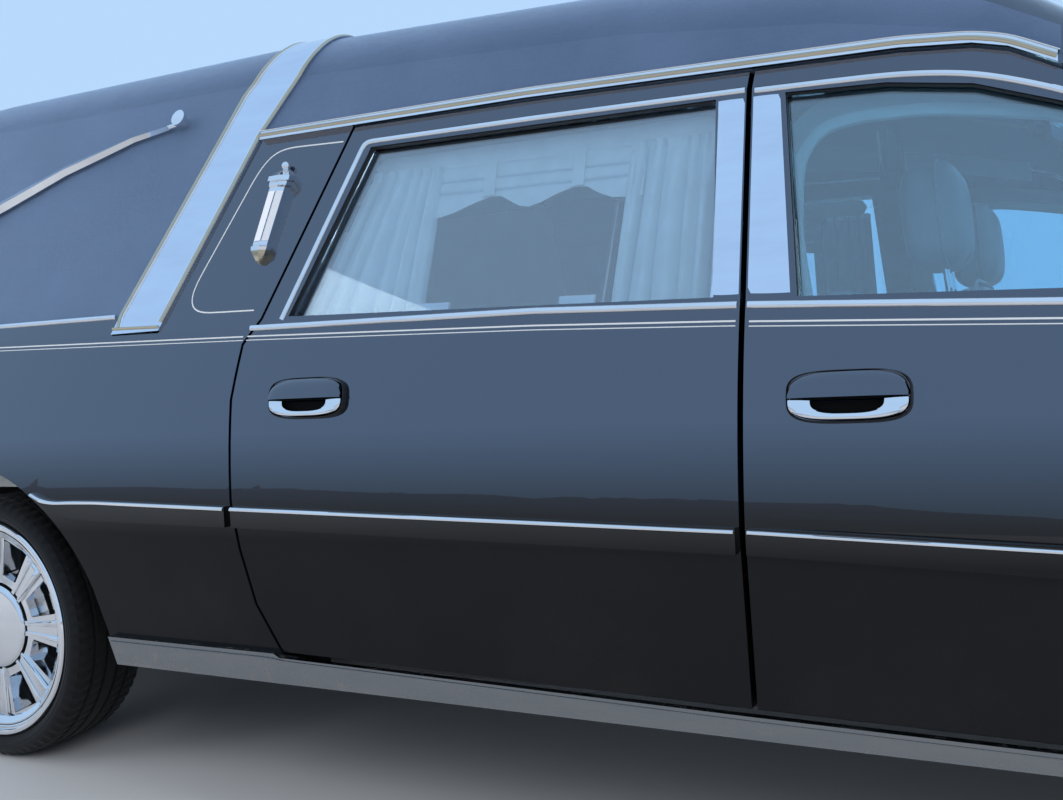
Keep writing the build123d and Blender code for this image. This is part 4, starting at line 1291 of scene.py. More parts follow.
@dataclass
class CoachLamps:
    """Faceted side lamps with frosted panes, a hood, a ball and a pointed foot.

    Attributes:
        steps: rings from the foot up as z, x of the middle, half width and depth.
        ball: x, z and radius of the ball.
    """

    kit: Kit
    steps: tuple[tuple[float, float, float, float], ...] = (
        (1183, -611, 2, 7), (1190, -611, 8, 17), (1213, -611, 21, 32), (1222, -610, 23, 34),
        (1224, -610, 20, 31), (1352, -590, 21, 33), (1356, -589, 24, 36), (1364, -588, 25, 37),
        (1366, -587, 30, 42), (1377, -586, 30, 42), (1381, -586, 25, 35), (1389, -585, 17, 26),
        (1395, -584, 9, 15), (1397, -584, 6, 11),
    )
    pane_scale: float = 0.86
    pane_lift: float = 1.2
    ball: tuple[float, float, float] = (-581.0, 1402.0, 10.4)
    ball_out: float = 12.0

    def ring(self, z: float, x: float, half: float, depth: float, side: Side) -> np.ndarray:
        """Six-cornered outline of the lamp at one height.

        Args:
            z: height in mm.
            x: middle of the lamp in mm.
            half: half width in mm.
            depth: depth off the skin in mm.
            side: which side of the vehicle.

        Returns:
            The corners in metres.
        """
        skin = float(self.kit.form.half(x, z)) - 3
        corners = [(-half, 0), (-half, depth * 0.62), (-half * 0.5, depth), (half * 0.5, depth),
                   (half, depth * 0.62), (half, 0)]
        return np.array([(x + a, (skin + b) * side.value, z) for a, b in corners]) * MM

    def panes(self, maker: MeshMaker, low: np.ndarray, high: np.ndarray) -> None:
        """Adds a pane to each outer facet: the facet shrunk to its middle and lifted along its normal.

        Args:
            maker: where the panes go.
            low: ring below the panes.
            high: ring above the panes.
        """
        for k in range(1, 4):
            facet = np.array([[low[k], low[k + 1]], [high[k], high[k + 1]]])
            middle = facet.mean((0, 1))
            out = unit(np.cross(low[k + 1] - low[k], high[k] - low[k])) * self.pane_lift * MM
            out = out * np.sign(out[1] * middle[1])
            maker.grid(middle + (facet - middle) * self.pane_scale + out, slot=1)

    def build(self) -> None:
        """Makes the lamp, its panes, its foot and its ball on each side."""
        for side in Side:
            maker = self.kit.maker(f"coach_lamp_{side.word}", "bright_chrome", "lamp_pane", "nickel_bead")
            rings = np.stack([self.ring(*step, side) for step in self.steps])
            maker.grid(rings[:3], close_v=True, slot=2)
            maker.grid(rings[2:], close_v=True)
            maker.cap(rings[0])
            maker.cap(rings[-1])
            self.panes(maker, rings[4], rings[5])
            x, z, radius = self.ball
            tilt = np.linspace(-1.5, 1.5, 13)
            rows = radius * np.stack([np.cos(tilt), np.sin(tilt)], axis=1)
            centre = (x, float(self.kit.form.half(x, z)) + self.ball_out, z)
            maker.grid(turned(rows, centre, 2, 24) * [1, side.value, 1] * MM, close_u=True)
            self.kit.ride(maker.build(25), "body", "bright_chrome")
        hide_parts("coach_lamps")


@dataclass
class DoorHandles:
    """Flap handles in an oblong escutcheon with a near-black cup below as painted shade.

    Attributes:
        handles: door, and x and z of the handle's middle.
        rim: half length and half height of the gasket.
        plate: half length, top line, depth below it and squareness of the bright lower half.
        cup: the same for the cup's mouth.
        flap_high: upper edge of the flap.
    """

    kit: Kit
    handles: tuple[tuple[str, float, float], ...] = (("front_door", 649, 857), ("rear_door", -431, 889))
    rim: tuple[float, float] = (95.5, 40.0)
    plate: tuple[float, float, float, float] = (92.5, -5.0, 32.0, 3.2)
    cup: tuple[float, float, float, float] = (57.0, -6.5, 20.5, 3.0)
    flap_foot: float = -2.5
    flap_high: float = 37.5

    def outline(self, half: float, high: float, power: float = 3.6) -> np.ndarray:
        """Returns a squared oval, (half · cos^(2/power), high · sin^(2/power)) with signs kept."""
        turn = turns(48)
        return np.stack([half * bowed(np.cos(turn), 2 / power),
                         high * bowed(np.sin(turn), 2 / power)], axis=1)

    def lower_half(self, half: float, top: float, deep: float, power: float) -> np.ndarray:
        """Returns the lower half of such an oval, hung from the height top."""
        turn = np.linspace(math.pi, 2 * math.pi, 73)
        return np.stack([half * bowed(np.cos(turn), 2 / power), top - deep * bowed(-np.sin(turn), 2 / power)],
                        axis=1)

    def bezel(self, maker: MeshMaker, x: float, z: float, side: Side) -> None:
        """Adds the bright lower half, swollen by a sine from edge to edge, and the stepped cup in it.

        Args:
            maker: where it goes.
            x: middle of the handle in mm.
            z: height of its middle in mm.
            side: which side of the vehicle.
        """
        outer, inner = self.lower_half(*self.plate), self.lower_half(*self.cup)
        lip, base = inner * [0.985, 0.97], np.array([0, self.cup[1]])
        bezel = [(outer, 8.0), (outer, 13.5)]
        for t in (0.08, 0.3, 0.6, 0.88):
            bezel.append((outer + (inner - outer) * t, 14.0 + 3.2 * math.sin(math.pi * (0.12 + 0.76 * t))))
        bezel += [(inner, 14.8), (lip, 13.0)]
        cup = [(lip, 13.0), (inner * [0.965, 0.95] + [0, -0.3], 4.0)]
        for k in (0.9, 0.5, 0.02):
            cup.append((inner * [k, 0.0] + base + (inner - base) * [0, k * 0.94], 1.6))
        # the cup takes slot 2, the near-black dark_recess finish, as painted shade of the recess
        for rows, slot in ((bezel, 0), (cup, 2)):
            grid = [self.kit.form.points(x + line[:, 0], z + line[:, 1], side, out) for line, out in rows]
            maker.grid(np.stack(grid), slot=slot)

    def flap(self, maker: MeshMaker, x: float, z: float, side: Side) -> None:
        """Adds the flap: a squared arch in outline that swells by a sine upwards and thins to its ends.

        Args:
            maker: where it goes.
            x: middle of the handle in mm.
            z: height of its middle in mm.
            side: which side of the vehicle.
        """
        half, _, _, power = self.plate
        s, t = span_grid((-1, 1, 41), (0, 1, 15))
        edge = self.flap_high * (1 - np.minimum(abs(s), 0.9995) ** power) ** (1 / power)
        high = np.where(t <= 1 / 14, self.flap_foot, self.flap_foot + t * (edge - self.flap_foot))
        out = 17.0 + 6.0 * np.sin(math.pi * (0.22 + 0.78 * t)) * (1 - abs(s) ** 5) - 4.5 * t ** 6
        out = np.where(t <= 0, 12.0, out)
        maker.grid(self.kit.form.points(x + half * s, z + high, side, out), slot=1, flip=side is Side.RIGHT)

    def build(self) -> None:
        """Makes the gasket, the bezel with its cup, the flap and a near-black strip below it as its painted
        shadow.
        """
        for side in Side:
            for name, x, z in self.handles:
                maker = self.kit.maker(f"{name}_handle_{side.word}", "bright_chrome", "black_paint",
                                       "dark_recess", "black_rubber")
                rim = self.outline(*self.rim) + [x, z]
                self.kit.strip(maker, rim, oblong(1.9, 12.0, 7, 0.5), side, 3, closed=True)
                self.bezel(maker, x, z, side)
                self.flap(maker, x, z, side)
                # painted shadow: a near-black strip just under the flap
                shade = resample([(x - 88, z - 3.6), (x + 88, z - 3.6)], 8.0)
                self.kit.strip(maker, shade, flat_bar(1.6, 14.2, 0.3, 8.0), side, 2)
                self.kit.ride(maker.build(35), f"{name}_{side.word}", "black_paint")


@dataclass
class Garnish:
    """Rubber seals in the window openings and the inner trim ring of the front doors.

    Attributes:
        holes: door and corners of its window opening as x, z.
        ring: the trim ring as x, z.
        seal: section of a seal, across and off the skin.
        band: section of the darker band round the ring, partly a trim sheet and partly painted shade of the
            frame's inside.
    """

    kit: Kit
    holes: tuple[tuple[str, Outline], ...] = (
        ("rear_door", ((-507, 1062), (-362, 1416), (404, 1392), (423, 1031))),
        ("front_door", ((566, 1022), (530, 1384), (700, 1372), (835, 1346), (960, 1296), (1420, 1014),
                        (1430, 984))),
    )
    ring: Outline = (
        (572, 1016), (548, 1140), (543, 1253), (550, 1298), (585, 1338), (648, 1348), (760, 1343),
        (870, 1322), (957, 1303), (1100, 1225), (1290, 1100), (1392, 1024),
    )
    seal: Outline = ((-0.8, -12.0), (4.6, -12.6), (5.6, -8.0), (4.0, -4.0), (-0.8, -2.6))
    band: Outline = ((9.0, -57.0), (9.0, -52.0), (34.0, -48.5), (46.0, -47.0), (46.0, -57.0))

    def build(self) -> None:
        """Makes the seals of every window, and the ring with the darker band round it, a grey trim sheet that
        partly stands for the shade inside the frame.
        """
        for side in Side:
            for name, hole in self.holes:
                maker = self.kit.maker(f"{name}_seal_{side.word}", "black_rubber")
                path = resample([*hole, hole[0]], 9.0)[:-1]
                self.kit.strip(maker, path, np.array(self.seal), side, closed=True)
                self.kit.ride(maker.build(), f"{name}_{side.word}", "black_paint")
            maker = self.kit.maker(f"door_garnish_{side.word}", "pale_trim", "grey_trim")
            path = resample(self.ring, 14.0, 3)
            self.kit.strip(maker, path, flat_bar(11.0, -49.0, 4.0, -58.0), side)
            # darker grey band: partly a trim sheet, partly painted shade of the window frame's inside
            self.kit.strip(maker, path, np.array(self.band), side, 1)
            self.kit.ride(maker.build(), f"front_door_{side.word}", "grey_trim")


@dataclass
class WheelTrim:
    """Bright lip, groove near-black as painted shade, twin-rib spokes, deep pockets and domed cap over each
    plain wheel.

    Attributes:
        spokes: number of spokes.
        profiles: slot of the finish and turned profile as (radius, outward), for the lip, the
            groove, the inner step, the cap, the ring round it and the floor behind the pockets.
        radii: where a spoke's sections lie, from the cap to the inner step.
        widths: half width of a spoke at its first and last radius.
        lifts: radius and outward place of a spoke's face.
        rib: a spoke's section as (share of the half width, outward of the face).
        pocket: corners of a pocket's mouth as (across, radius).
        pocket_steps: scale and outward place of the pocket's steps.
    """

    kit: Kit
    spokes: int = 8
    profiles: tuple[tuple[int, Outline], ...] = (
        (2, ((252, 88), (256, 92.2), (258, 97.6), (262, 97.8), (263, 100.5), (265, 105.2), (270, 106.4),
             (275, 105.6), (277.6, 102), (277.8, 92))),
        # groove at the lip in the near-black finish: painted shade of the gap
        (1, ((252.5, 88.4), (252, 95.0), (257.6, 95.4), (258, 97.8))),
        (0, ((232, 83), (234, 87.5), (238, 89.8), (244, 92.8), (249, 95.6), (252.6, 95.4), (253, 90))),
        (0, ((107.5, 78.4), (106.8, 83), (104, 86.2), (99, 88.0), (90, 88.6), (60, 90.2), (30, 91.2),
             (0.4, 91.5))),
        (1, ((113, 77.5), (111.5, 79.6), (108.5, 79.2), (107.6, 78.0))),
        (1, ((118, 33.0), (244, 33.0), (244.0, 40.0))),
    )
    radii: tuple[float, ...] = (108, 114, 128, 150, 180, 210, 228, 236)
    widths: tuple[float, float] = (14.0, 27.0)
    lifts: Outline = ((108, 77.0), (114, 84.5), (228, 88.5), (236, 84.0))
    rib: Outline = (
        (-1.0, -9), (-0.98, -2.0), (-0.9, 0.0), (-0.55, 0.0), (-0.47, -1.2), (-0.42, -4.5),
        (0.42, -4.5), (0.47, -1.2), (0.55, 0.0), (0.9, 0.0), (0.98, -2.0), (1.0, -9),
    )
    back: float = 70.0
    pocket: Outline = ((-22, 133), (22, 133), (44.5, 223.5), (-44.5, 223.5))
    pocket_middle: float = 182.0
    pocket_steps: Outline = ((1.0, 79.5), (0.97, 74.0), (0.93, 58.0), (0.86, 42.0), (0.8, 34.0))

    def turned(self, profile: Outline) -> np.ndarray:
        """Turns a profile about the axle: (r · sin, outward, r · cos) for each angle.

        Args:
            profile: (radius, outward) points in mm.

        Returns:
            The grid in mm.
        """
        turn = turns(160)[:, None]
        r, out = np.array(profile, float).T
        return np.stack([r * np.sin(turn), out + 0 * turn, r * np.cos(turn)], axis=-1)

    def bar(self) -> np.ndarray:
        """Grid of the upright spoke: the rib's section stretched to the width and lift at each radius.

        Returns:
            The grid in mm.
        """
        r = np.array(self.radii, float)
        rib = np.array(self.rib, float)
        across = np.interp(r, r[[0, -1]], self.widths)[:, None] * rib[None, :, 0]
        out = np.maximum(np.interp(r, *np.array(self.lifts).T)[:, None] + rib[None, :, 1], self.back)
        return np.stack([across, out, np.broadcast_to(r[:, None], across.shape)], axis=-1)

    def hollow(self) -> np.ndarray:
        """Grid of the upright pocket: its mouth shrunk to its middle, step by step inward.

        Returns:
            The grid in mm.
        """
        return stepped(np.array(self.pocket), (0, self.pocket_middle), self.pocket_steps, 1)

    def swung(self, grid: np.ndarray, angle: float) -> np.ndarray:
        """Turns an upright grid about the axle.

        Args:
            grid: points in mm.
            angle: turn in radians.

        Returns:
            The turned grid.
        """
        c, s = math.cos(angle), math.sin(angle)
        x, y, z = grid[..., 0], grid[..., 1], grid[..., 2]
        return np.stack([x * c + z * s, y, -x * s + z * c], axis=-1)

    @staticmethod
    def seated(grid: np.ndarray, x: float, y: float) -> np.ndarray:
        """Moves a grid to its wheel, outward to that wheel's side, in metres."""
        return (grid * [1, math.copysign(1.0, y), 1] + [x, y, AXLE_Z]) * MM

    def build(self) -> None:
        """Makes one mesh for each wheel, which rides on it."""
        for name, x, y in WHEELS:
            maker = self.kit.maker(f"wheel_trim_{name}", "wheel_chrome", "dark_recess", "bright_chrome")
            for slot, profile in self.profiles:
                maker.grid(self.seated(self.turned(profile), x, y), close_u=True, slot=slot)
            for k in range(self.spokes):
                angle = 2 * math.pi * k / self.spokes
                bar = self.seated(self.swung(self.bar(), angle), x, y)
                maker.grid(bar).cap(bar[0]).cap(bar[-1])
                hollow = self.seated(self.swung(self.hollow(), angle + math.pi / self.spokes), x, y)
                maker.grid(hollow, close_v=True).cap(hollow[-1], 1)
            self.kit.ride(maker.build(32), f"wheel_{name}", "wheel_chrome")


@dataclass
class Drapes:
    """Gathered window drapes with a tucked valance, its scallops and two straps.

    Attributes:
        panels: name, number of folds, and the top rear, top front, bottom front and bottom rear
            corner as x, z.
        scallop: the valance's hem as x, z.
        valance: rear end, length, height at that end and fall to the front end.
        header_board: the same for the header.
        tucks: distance of the tucks below the valance's top.
        straps: x and lower end of each strap.
        clips: rear end, front end and height of each clip.
    """

    kit: Kit
    panels: tuple[tuple[str, int, Outline], ...] = (
        ("rear", 6, ((-384, 1386), (-208, 1380), (-213, 1050), (-508, 1062))),
        ("front", 5, ((222, 1369), (398, 1361), (394, 1030), (206, 1038))),
    )
    scallop: Outline = (
        (-240, 1274), (-212, 1270), (-200, 1269), (-165, 1276), (-120, 1293), (-88, 1302), (-63, 1301),
        (-40, 1287), (-16, 1273), (7, 1268), (35, 1274), (70, 1289), (101, 1298), (130, 1296),
        (155, 1280), (186, 1266), (222, 1261), (250, 1262),
    )
    valance: tuple[float, float, float, float] = (-238.0, 488.0, 1381.0, 16.0)
    header_board: tuple[float, float, float, float] = (-389.0, 780.0, 1402.0, 20.0)
    header_half: float = 22.0
    tucks: tuple[float, float] = (34.0, 60.0)
    hem: float = 130.0
    straps: Outline = ((-92, 1301), (109, 1297))
    clips: tuple[tuple[float, float, float], ...] = ((-200, -132, 1069), (112, 184, 1060))

    def panel(self, name: str, corners: Outline, side: Side, folds: int) -> bpy.types.Object:
        """One gathered panel: folds are a skewed sine across, shallow at the header and deep below.

        Args:
            name: piece name.
            corners: top rear, top front, bottom front and bottom rear as x, z in mm.
            side: which side of the vehicle.
            folds: number of folds across.

        Returns:
            The cloth object.
        """
        tr, tf, bf, br = np.array(corners, float)
        s, t = span_grid((0, 1, folds * 24 + 1), (0, 1, 90))
        wander = 0.020 * np.sin(3.1 * t + 6 * s) + 0.012 * np.sin(11.3 * s + 2.4 * t)
        sw = np.clip(s + wander * s * (1 - s) * 4, 0, 1)[..., None]
        place = (tr + (tf - tr) * sw) * (1 - t[..., None]) + (br + (bf - br) * sw) * t[..., None]
        phase = math.pi * folds * (s + 0.035 * np.sin(6.0 * s + 1.0) + 0.015 * np.sin(17.0 * s))
        deep = 4.0 + 11.0 * np.sin(0.5 * math.pi * np.clip(t * 1.6, 0, 1))
        uneven = 0.7 + 0.3 * np.sin(2.3 * phase + 1.3)
        wave = (2 * (abs(np.sin(phase)) + 0.02) ** 0.75 - 1.1) * deep * uneven
        pleat = 1.6 * np.sin(phase * 3.0 + 1.8 * np.sin(3 * t)) * np.exp(-t * 2.2)
        gather = 2.0 * np.sin(phase * 6.0 + 4.0 * t) * np.exp(-t * 9.0)
        roll = 3.0 * np.exp(-((t - 0.008) / 0.012) ** 2) - 2.4 * np.exp(-((t - 0.05) / 0.01) ** 2)
        out = -(61.0 - wave - pleat - gather - roll)
        points = self.kit.form.points(place[..., 0], place[..., 1], side, out)
        maker = self.kit.maker(name, "drape_cloth")
        maker.grid(points, flip=side is Side.RIGHT)
        obj = maker.build(180)
        # painted shade: the deeper a point lies in a fold's valley, the darker its cloth colour
        self.shade(obj, np.clip(0.45 - (wave + pleat) / (2.0 * deep), 0, 1) ** 1.4)
        return obj

    @staticmethod
    def shade(obj: bpy.types.Object, depth: np.ndarray) -> None:
        """Stores each point's painted shade as a point attribute, 0 on a crest to 1 deep in a fold's valley.
        """
        layer = obj.data.attributes.new("fold", "FLOAT", "POINT")
        layer.data.foreach_set("value", depth.ravel().astype(np.float32))

    def hung_valance(self, side: Side) -> bpy.types.Object:
        """Tucked strip across the top: a round belly between tucks, puckers at each, a scalloped hem.

        Args:
            side: which side of the vehicle.

        Returns:
            The cloth object.
        """
        start, length, height, fall = self.valance
        first, second = self.tucks
        s, t = span_grid((0, 1, 161), (0, 1, 70))
        x = start + s * length
        top = height - (x - start) / length * fall
        hem = np.interp(x, *np.array(self.scallop, float).T)
        z = top + (hem - top) * t
        drop = top - z
        bellies = 0.0
        for begin, end in ((0.0, first), (first, second), (second, self.hem)):
            inside = np.clip((drop - begin) / (end - begin), 0, 1)
            bellies = bellies + 5.0 * np.sqrt(np.clip(inside * (1 - inside) * 4, 0, 1))
        puckers = 0.9 * np.sin(x / 5.3 + np.sin(x / 31.0) * 2) * np.exp(-((drop - first) / 9.0) ** 2)
        puckers = puckers + 0.9 * np.sin(x / 4.7 + 1.0) * np.exp(-((drop - second) / 9.0) ** 2)
        hang = 2.2 * np.sin(x / 33.0 + 0.8) * t ** 2
        points = self.kit.form.points(x, z, side, -(70.0 - bellies - puckers - hang))
        maker = self.kit.maker(f"valance_{side.word}", "drape_cloth")
        maker.grid(points, flip=side is Side.RIGHT)
        obj = maker.build(180)
        # painted shade along the two tucks
        painted_tuck_shade = np.exp(-((drop - first) / 3.0) ** 2) + np.exp(-((drop - second) / 3.0) ** 2)
        self.shade(obj, np.clip(0.7 * painted_tuck_shade, 0, 1))
        return obj

    def header(self, side: Side) -> bpy.types.Object:
        """Covered board along the top of the window: a squared oval section, its ends rounded over.

        Args:
            side: which side of the vehicle.

        Returns:
            The header.
        """
        start, length, height, fall = self.header_board
        x = np.linspace(start, start + length, 90)
        line = height - (x - start) / length * fall
        end = np.clip(np.minimum(x - start, start + length - x) / self.header_half, 0, 1)
        half = self.header_half * np.sqrt(np.clip(1 - (1 - end) ** 2, 0.02, 1))
        turn = turns(20)
        z = line[:, None] + half[:, None] * np.sin(turn)
        out = -72.0 + 6.5 * bowed(np.cos(turn), 0.6)
        points = self.kit.form.points(x[:, None] + 0 * turn, z, side, out + 0 * z)
        return self.kit.maker(f"drape_header_{side.word}", "drape_cloth").tube(points).build(50)

    def bars(self, name: str, finish: str, lines: Sequence[tuple[Outline, float]], section: np.ndarray,
             side: Side) -> bpy.types.Object:
        """Flat strips behind the glass in one mesh.

        Args:
            name: piece name without its side.
            finish: name of the finish.
            lines: ends of each strip as x, z in mm, and the spacing along it.
            section: outline across and off the skin in mm.
            side: which side of the vehicle.

        Returns:
            The strips.
        """
        maker = self.kit.maker(f"{name}_{side.word}", finish)
        for ends, step in lines:
            self.kit.strip(maker, resample(ends, step), section, side)
        return maker.build()

    def build(self) -> None:
        """Makes the drapes of both rear doors, each riding on its door."""
        straps = [(((x + 2, low), (x, 1382 - (x + 92) * 0.03)), 6.0) for x, low in self.straps]
        clips = [(((rear, low), (front, low - 2)), 8.0) for rear, front, low in self.clips]
        for side in Side:
            made = [self.panel(f"drape_{name}_{side.word}", corners, side, folds)
                    for name, folds, corners in self.panels]
            made.append(self.hung_valance(side))
            made.append(self.header(side))
            for name, finish, paths, section in (
                    ("drape_straps", "drape_cloth", straps, flat_bar(13.5, -61.5, 0.8, -64.0)),
                    ("drape_clips", "lamp_pane", clips, flat_bar(10.0, -34.0, 3.0, -42.0))):
                made.append(self.bars(name, finish, paths, section, side))
            for obj in made:
                self.kit.ride(obj, f"rear_door_{side.word}", "drape_cloth")
            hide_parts(f"drapes_{side.word}")


@dataclass(frozen=True)
class Pad:
    """One padded cushion of a seat.

    Attributes:
        centre: middle of the pad as x, y, z, y off the vehicle's centre line.
        half: half sizes along its own axes.
        lean: turn about Y in degrees, the top towards the rear.
        channels: places of the sewn channels across the pad, in mm from its middle.
    """

    name: str
    centre: tuple[float, float, float]
    half: tuple[float, float, float]
    lean: float
    round: float
    cap: float
    channels: tuple[float, ...] = ()
    face: str = "front"

    def settle(self, points: np.ndarray) -> np.ndarray:
        """Turns points of the pad's own axes by its lean and moves them to its place.

        Args:
            points: places in mm.

        Returns:
            The points in metres.
        """
        c, s = math.cos(math.radians(self.lean)), math.sin(math.radians(self.lean))
        x, y, z = points[..., 0], points[..., 1], points[..., 2]
        return (np.stack([x * c + z * s, y, -x * s + z * c], axis=-1) + np.array(self.centre)) * MM

    def lift_out(self, points: np.ndarray) -> np.ndarray:
        """Brings points back into the pad's own axes.

        Args:
            points: places in metres.

        Returns:
            The points in mm.
        """
        c, s = math.cos(math.radians(self.lean)), math.sin(math.radians(self.lean))
        x, y, z = (points / MM - np.array(self.centre)).T
        return np.stack([x * c - z * s, y, x * s + z * c], axis=1)


@dataclass
class Seats:
    """Leather front seats: simulated cushions with sewn channels and piping on rigid frames.

    Attributes:
        pads: the cushions of the left seat.
        shield: outline of a side shield as x, z.
        shields: inner and outer face of each shield in y.
        rails: y of the seat's rails.
        rail_line: x of a rail's points, and its height.
        posts: y of the headrest's posts.
        post_ends: foot and top of a post as x, z.
    """

    kit: Kit
    pads: tuple[Pad, ...] = (
        Pad("seat_cushion", (1032, 375, 518), (246, 252, 62), 4.0, 0.42, 14.0, (-118, 118), "top"),
        Pad("seat_back", (818, 375, 792), (50, 246, 258), -6.5, 0.42, 14.0, (-112, 112), "front"),
        Pad("headrest", (722, 366, 1182), (58, 130, 103), -4.0, 0.5, 7.0),
    )
    shield: Outline = ((842, 334), (1218, 334), (1226, 372), (1240, 452), (1216, 470), (860, 466), (832, 440))
    shields: Outline = ((146, 176), (574, 604))
    rails: tuple[float, float] = (161, 589)
    rail_line: tuple[tuple[float, ...], float] = ((860, 1030, 1226), 342)
    posts: tuple[float, float] = (340, 410)
    post_ends: Outline = ((744, 1030), (736, 1110))

    def shell(self, pad: Pad) -> np.ndarray:
        """Squared ellipsoid: half sizes times cosines and sines raised to the pad's exponent, signs kept.

        Args:
            pad: the cushion.

        Returns:
            A grid in the pad's own axes in mm, open at both ends.
        """
        u = np.linspace(-math.pi, math.pi, 88, endpoint=False)[:, None]
        v = np.linspace(-math.pi / 2 + 0.001, math.pi / 2 - 0.001, 45)[None, :]
        hx, hy, hz = pad.half
        ring = bowed(np.cos(v), pad.round)
        return np.stack([hx * ring * bowed(np.cos(u), pad.round), hy * ring * bowed(np.sin(u), pad.round),
                         hz * bowed(np.sin(v), pad.round) + 0 * u], axis=-1)

    def swell(self, obj: bpy.types.Object, pad: Pad) -> None:
        """Remeshes a pad, swells it with cloth pressure and keeps every point within the cap.

        Args:
            obj: the pad's object.
            pad: its sizes.
        """
        remesh = obj.modifiers.new("remesh", "REMESH")
        remesh.mode = "VOXEL"
        remesh.voxel_size = 0.011 if pad.half[1] > 150 else 0.007
        self.apply(obj)
        before = self.coordinates(obj.data)
        cloth = obj.modifiers.new("cloth", "CLOTH")
        leather = {"quality": 5, "mass": 0.3, "tension_stiffness": 12.0, "compression_stiffness": 12.0,
                   "bending_stiffness": 4.0, "use_pressure": True, "uniform_pressure_force": 4.0}
        for name, value in leather.items():
            setattr(cloth.settings, name, value)
        cloth.settings.effector_weights.gravity = 0.0
        cloth.point_cache.frame_start = 1
        cloth.point_cache.frame_end = 20
        for frame in range(1, 21):
            bpy.context.scene.frame_set(frame)
        evaluated = obj.evaluated_get(bpy.context.evaluated_depsgraph_get())
        moved = self.coordinates(evaluated.data) - before
        obj.modifiers.remove(cloth)
        bpy.context.scene.frame_set(1)
        far = np.linalg.norm(moved, axis=1, keepdims=True)
        moved *= np.minimum(1.0, pad.cap * MM / np.maximum(far, 1e-9))
        self.move(obj, before + moved)

    @staticmethod
    def coordinates(mesh: bpy.types.Mesh) -> np.ndarray:
        """Reads a mesh's points.

        Args:
            mesh: the mesh.

        Returns:
            An array of shape (points, 3) in metres.
        """
        flat = np.empty(len(mesh.vertices) * 3)
        mesh.vertices.foreach_get("co", flat)
        return flat.reshape(-1, 3)

    @staticmethod
    def move(obj: bpy.types.Object, points: np.ndarray) -> None:
        """Puts an object's points at new places in metres."""
        obj.data.vertices.foreach_set("co", points.ravel())
        obj.data.update()

    @staticmethod
    def apply(obj: bpy.types.Object) -> None:
        """Applies every modifier of an object to its mesh.

        Args:
            obj: the object.
        """
        evaluated = obj.evaluated_get(bpy.context.evaluated_depsgraph_get())
        mesh = bpy.data.meshes.new_from_object(evaluated)
        obj.modifiers.clear()
        old = obj.data
        obj.data = mesh
        bpy.data.meshes.remove(old)

    def sew(self, obj: bpy.types.Object, pad: Pad) -> None:
        """Draws the sewn channels into a pad's face: a bell-shaped dent across each seam.

        Args:
            obj: the pad's object.
            pad: its sizes.
        """
        own = pad.lift_out(self.coordinates(obj.data))
        hx, hy, hz = pad.half
        if pad.face == "top":
            face, depth, run = own[:, 2] / hz, 2, own[:, 0] / hx
        else:
            face, depth, run = own[:, 0] / hx, 0, own[:, 2] / hz
        near = np.clip((face - 0.3) / 0.4, 0, 1) * np.clip((0.9 - abs(run)) / 0.2, 0, 1)
        dent = np.zeros(len(own))
        for place in pad.channels:
            dent += 7.0 * np.exp(-((own[:, 1] - place) / 9.0) ** 2)
        if pad.channels:
            dent += 5.0 * np.exp(-((run - 0.72) / 0.03) ** 2) * (abs(own[:, 1]) < 0.86 * hy)
        own[:, depth] -= dent * near
        self.move(obj, pad.settle(own))

    def piping(self, maker: MeshMaker, pad: Pad) -> None:
        """Adds a round welt along the widest outline of a pad, a squared oval 2 mm proud of it.

        Args:
            maker: where the welt goes.
            pad: the cushion.
        """
        hx, hy, hz = pad.half
        turn = turns(140)
        wide, high = bowed(np.cos(turn), pad.round), bowed(np.sin(turn), pad.round)
        if pad.face == "top":
            loop = np.stack([(hx + 2) * wide, (hy + 2) * high, 0.42 * hz + 0 * turn], axis=1)
            loop *= [0.985, 0.985, 1]
        else:
            loop = np.stack([0.3 * hx + 0 * turn, (hy + 2) * wide, (hz + 2) * high], axis=1)
            loop *= [1, 0.985, 0.985]
        path = pad.settle(loop)
        along = unit(np.roll(path, -1, 0) - np.roll(path, 1, 0))
        out = unit(path - path.mean(0))
        out = unit(out - along * np.einsum("ij,ij->i", out, along)[:, None])
        maker.sweep(path, np.cross(along, out), out, round_bar(3.2, 9), closed=True)

    def frames(self) -> None:
        """Makes the side shields, the rails and the headrest's posts of both seats."""
        maker = self.kit.maker("front_seat_frames", "grey_trim", "bright_chrome", "chassis_black")
        plan = np.array(self.shield, float)
        for sign in (1, -1):
            for inner, outer in self.shields:
                steps = ((0.985, inner), (1.0, inner + 4), (1.0, outer - 4), (0.985, outer))
                maker.tube(stepped(plan, plan.mean(0), steps, 1) * [1, sign, 1] * MM)
            for y in self.rails:
                path = np.array([(x, y * sign, self.rail_line[1]) for x in self.rail_line[0]], float) * MM
                maker.sweep(path, LEFT, UP, wedge(14, -8, 14, 8), 2)
            for y in self.posts:
                t = np.linspace(0, 1, 6)[:, None]
                foot, top = (np.array([(x, y * sign, z)]) for x, z in self.post_ends)
                maker.sweep((foot * (1 - t) + top * t) * MM, AHEAD, LEFT, round_bar(6.5, 18), 1)
        obj = maker.build(30)
        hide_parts("front_seats")
        self.kit.ride(obj, "body", "grey_trim")

    def mirror(self, obj: bpy.types.Object, name: str) -> bpy.types.Object:
        """Copies a left piece to the right side with its faces still outward.

        Args:
            obj: the left piece.
            name: the copy's name.

        Returns:
            The copy.
        """
        mesh = obj.data.copy()
        mesh.transform(Matrix.Diagonal((1.0, -1.0, 1.0, 1.0)))
        mesh.flip_normals()
        other = bpy.data.objects.new(name, mesh)
        bpy.context.scene.collection.objects.link(other)
        return other

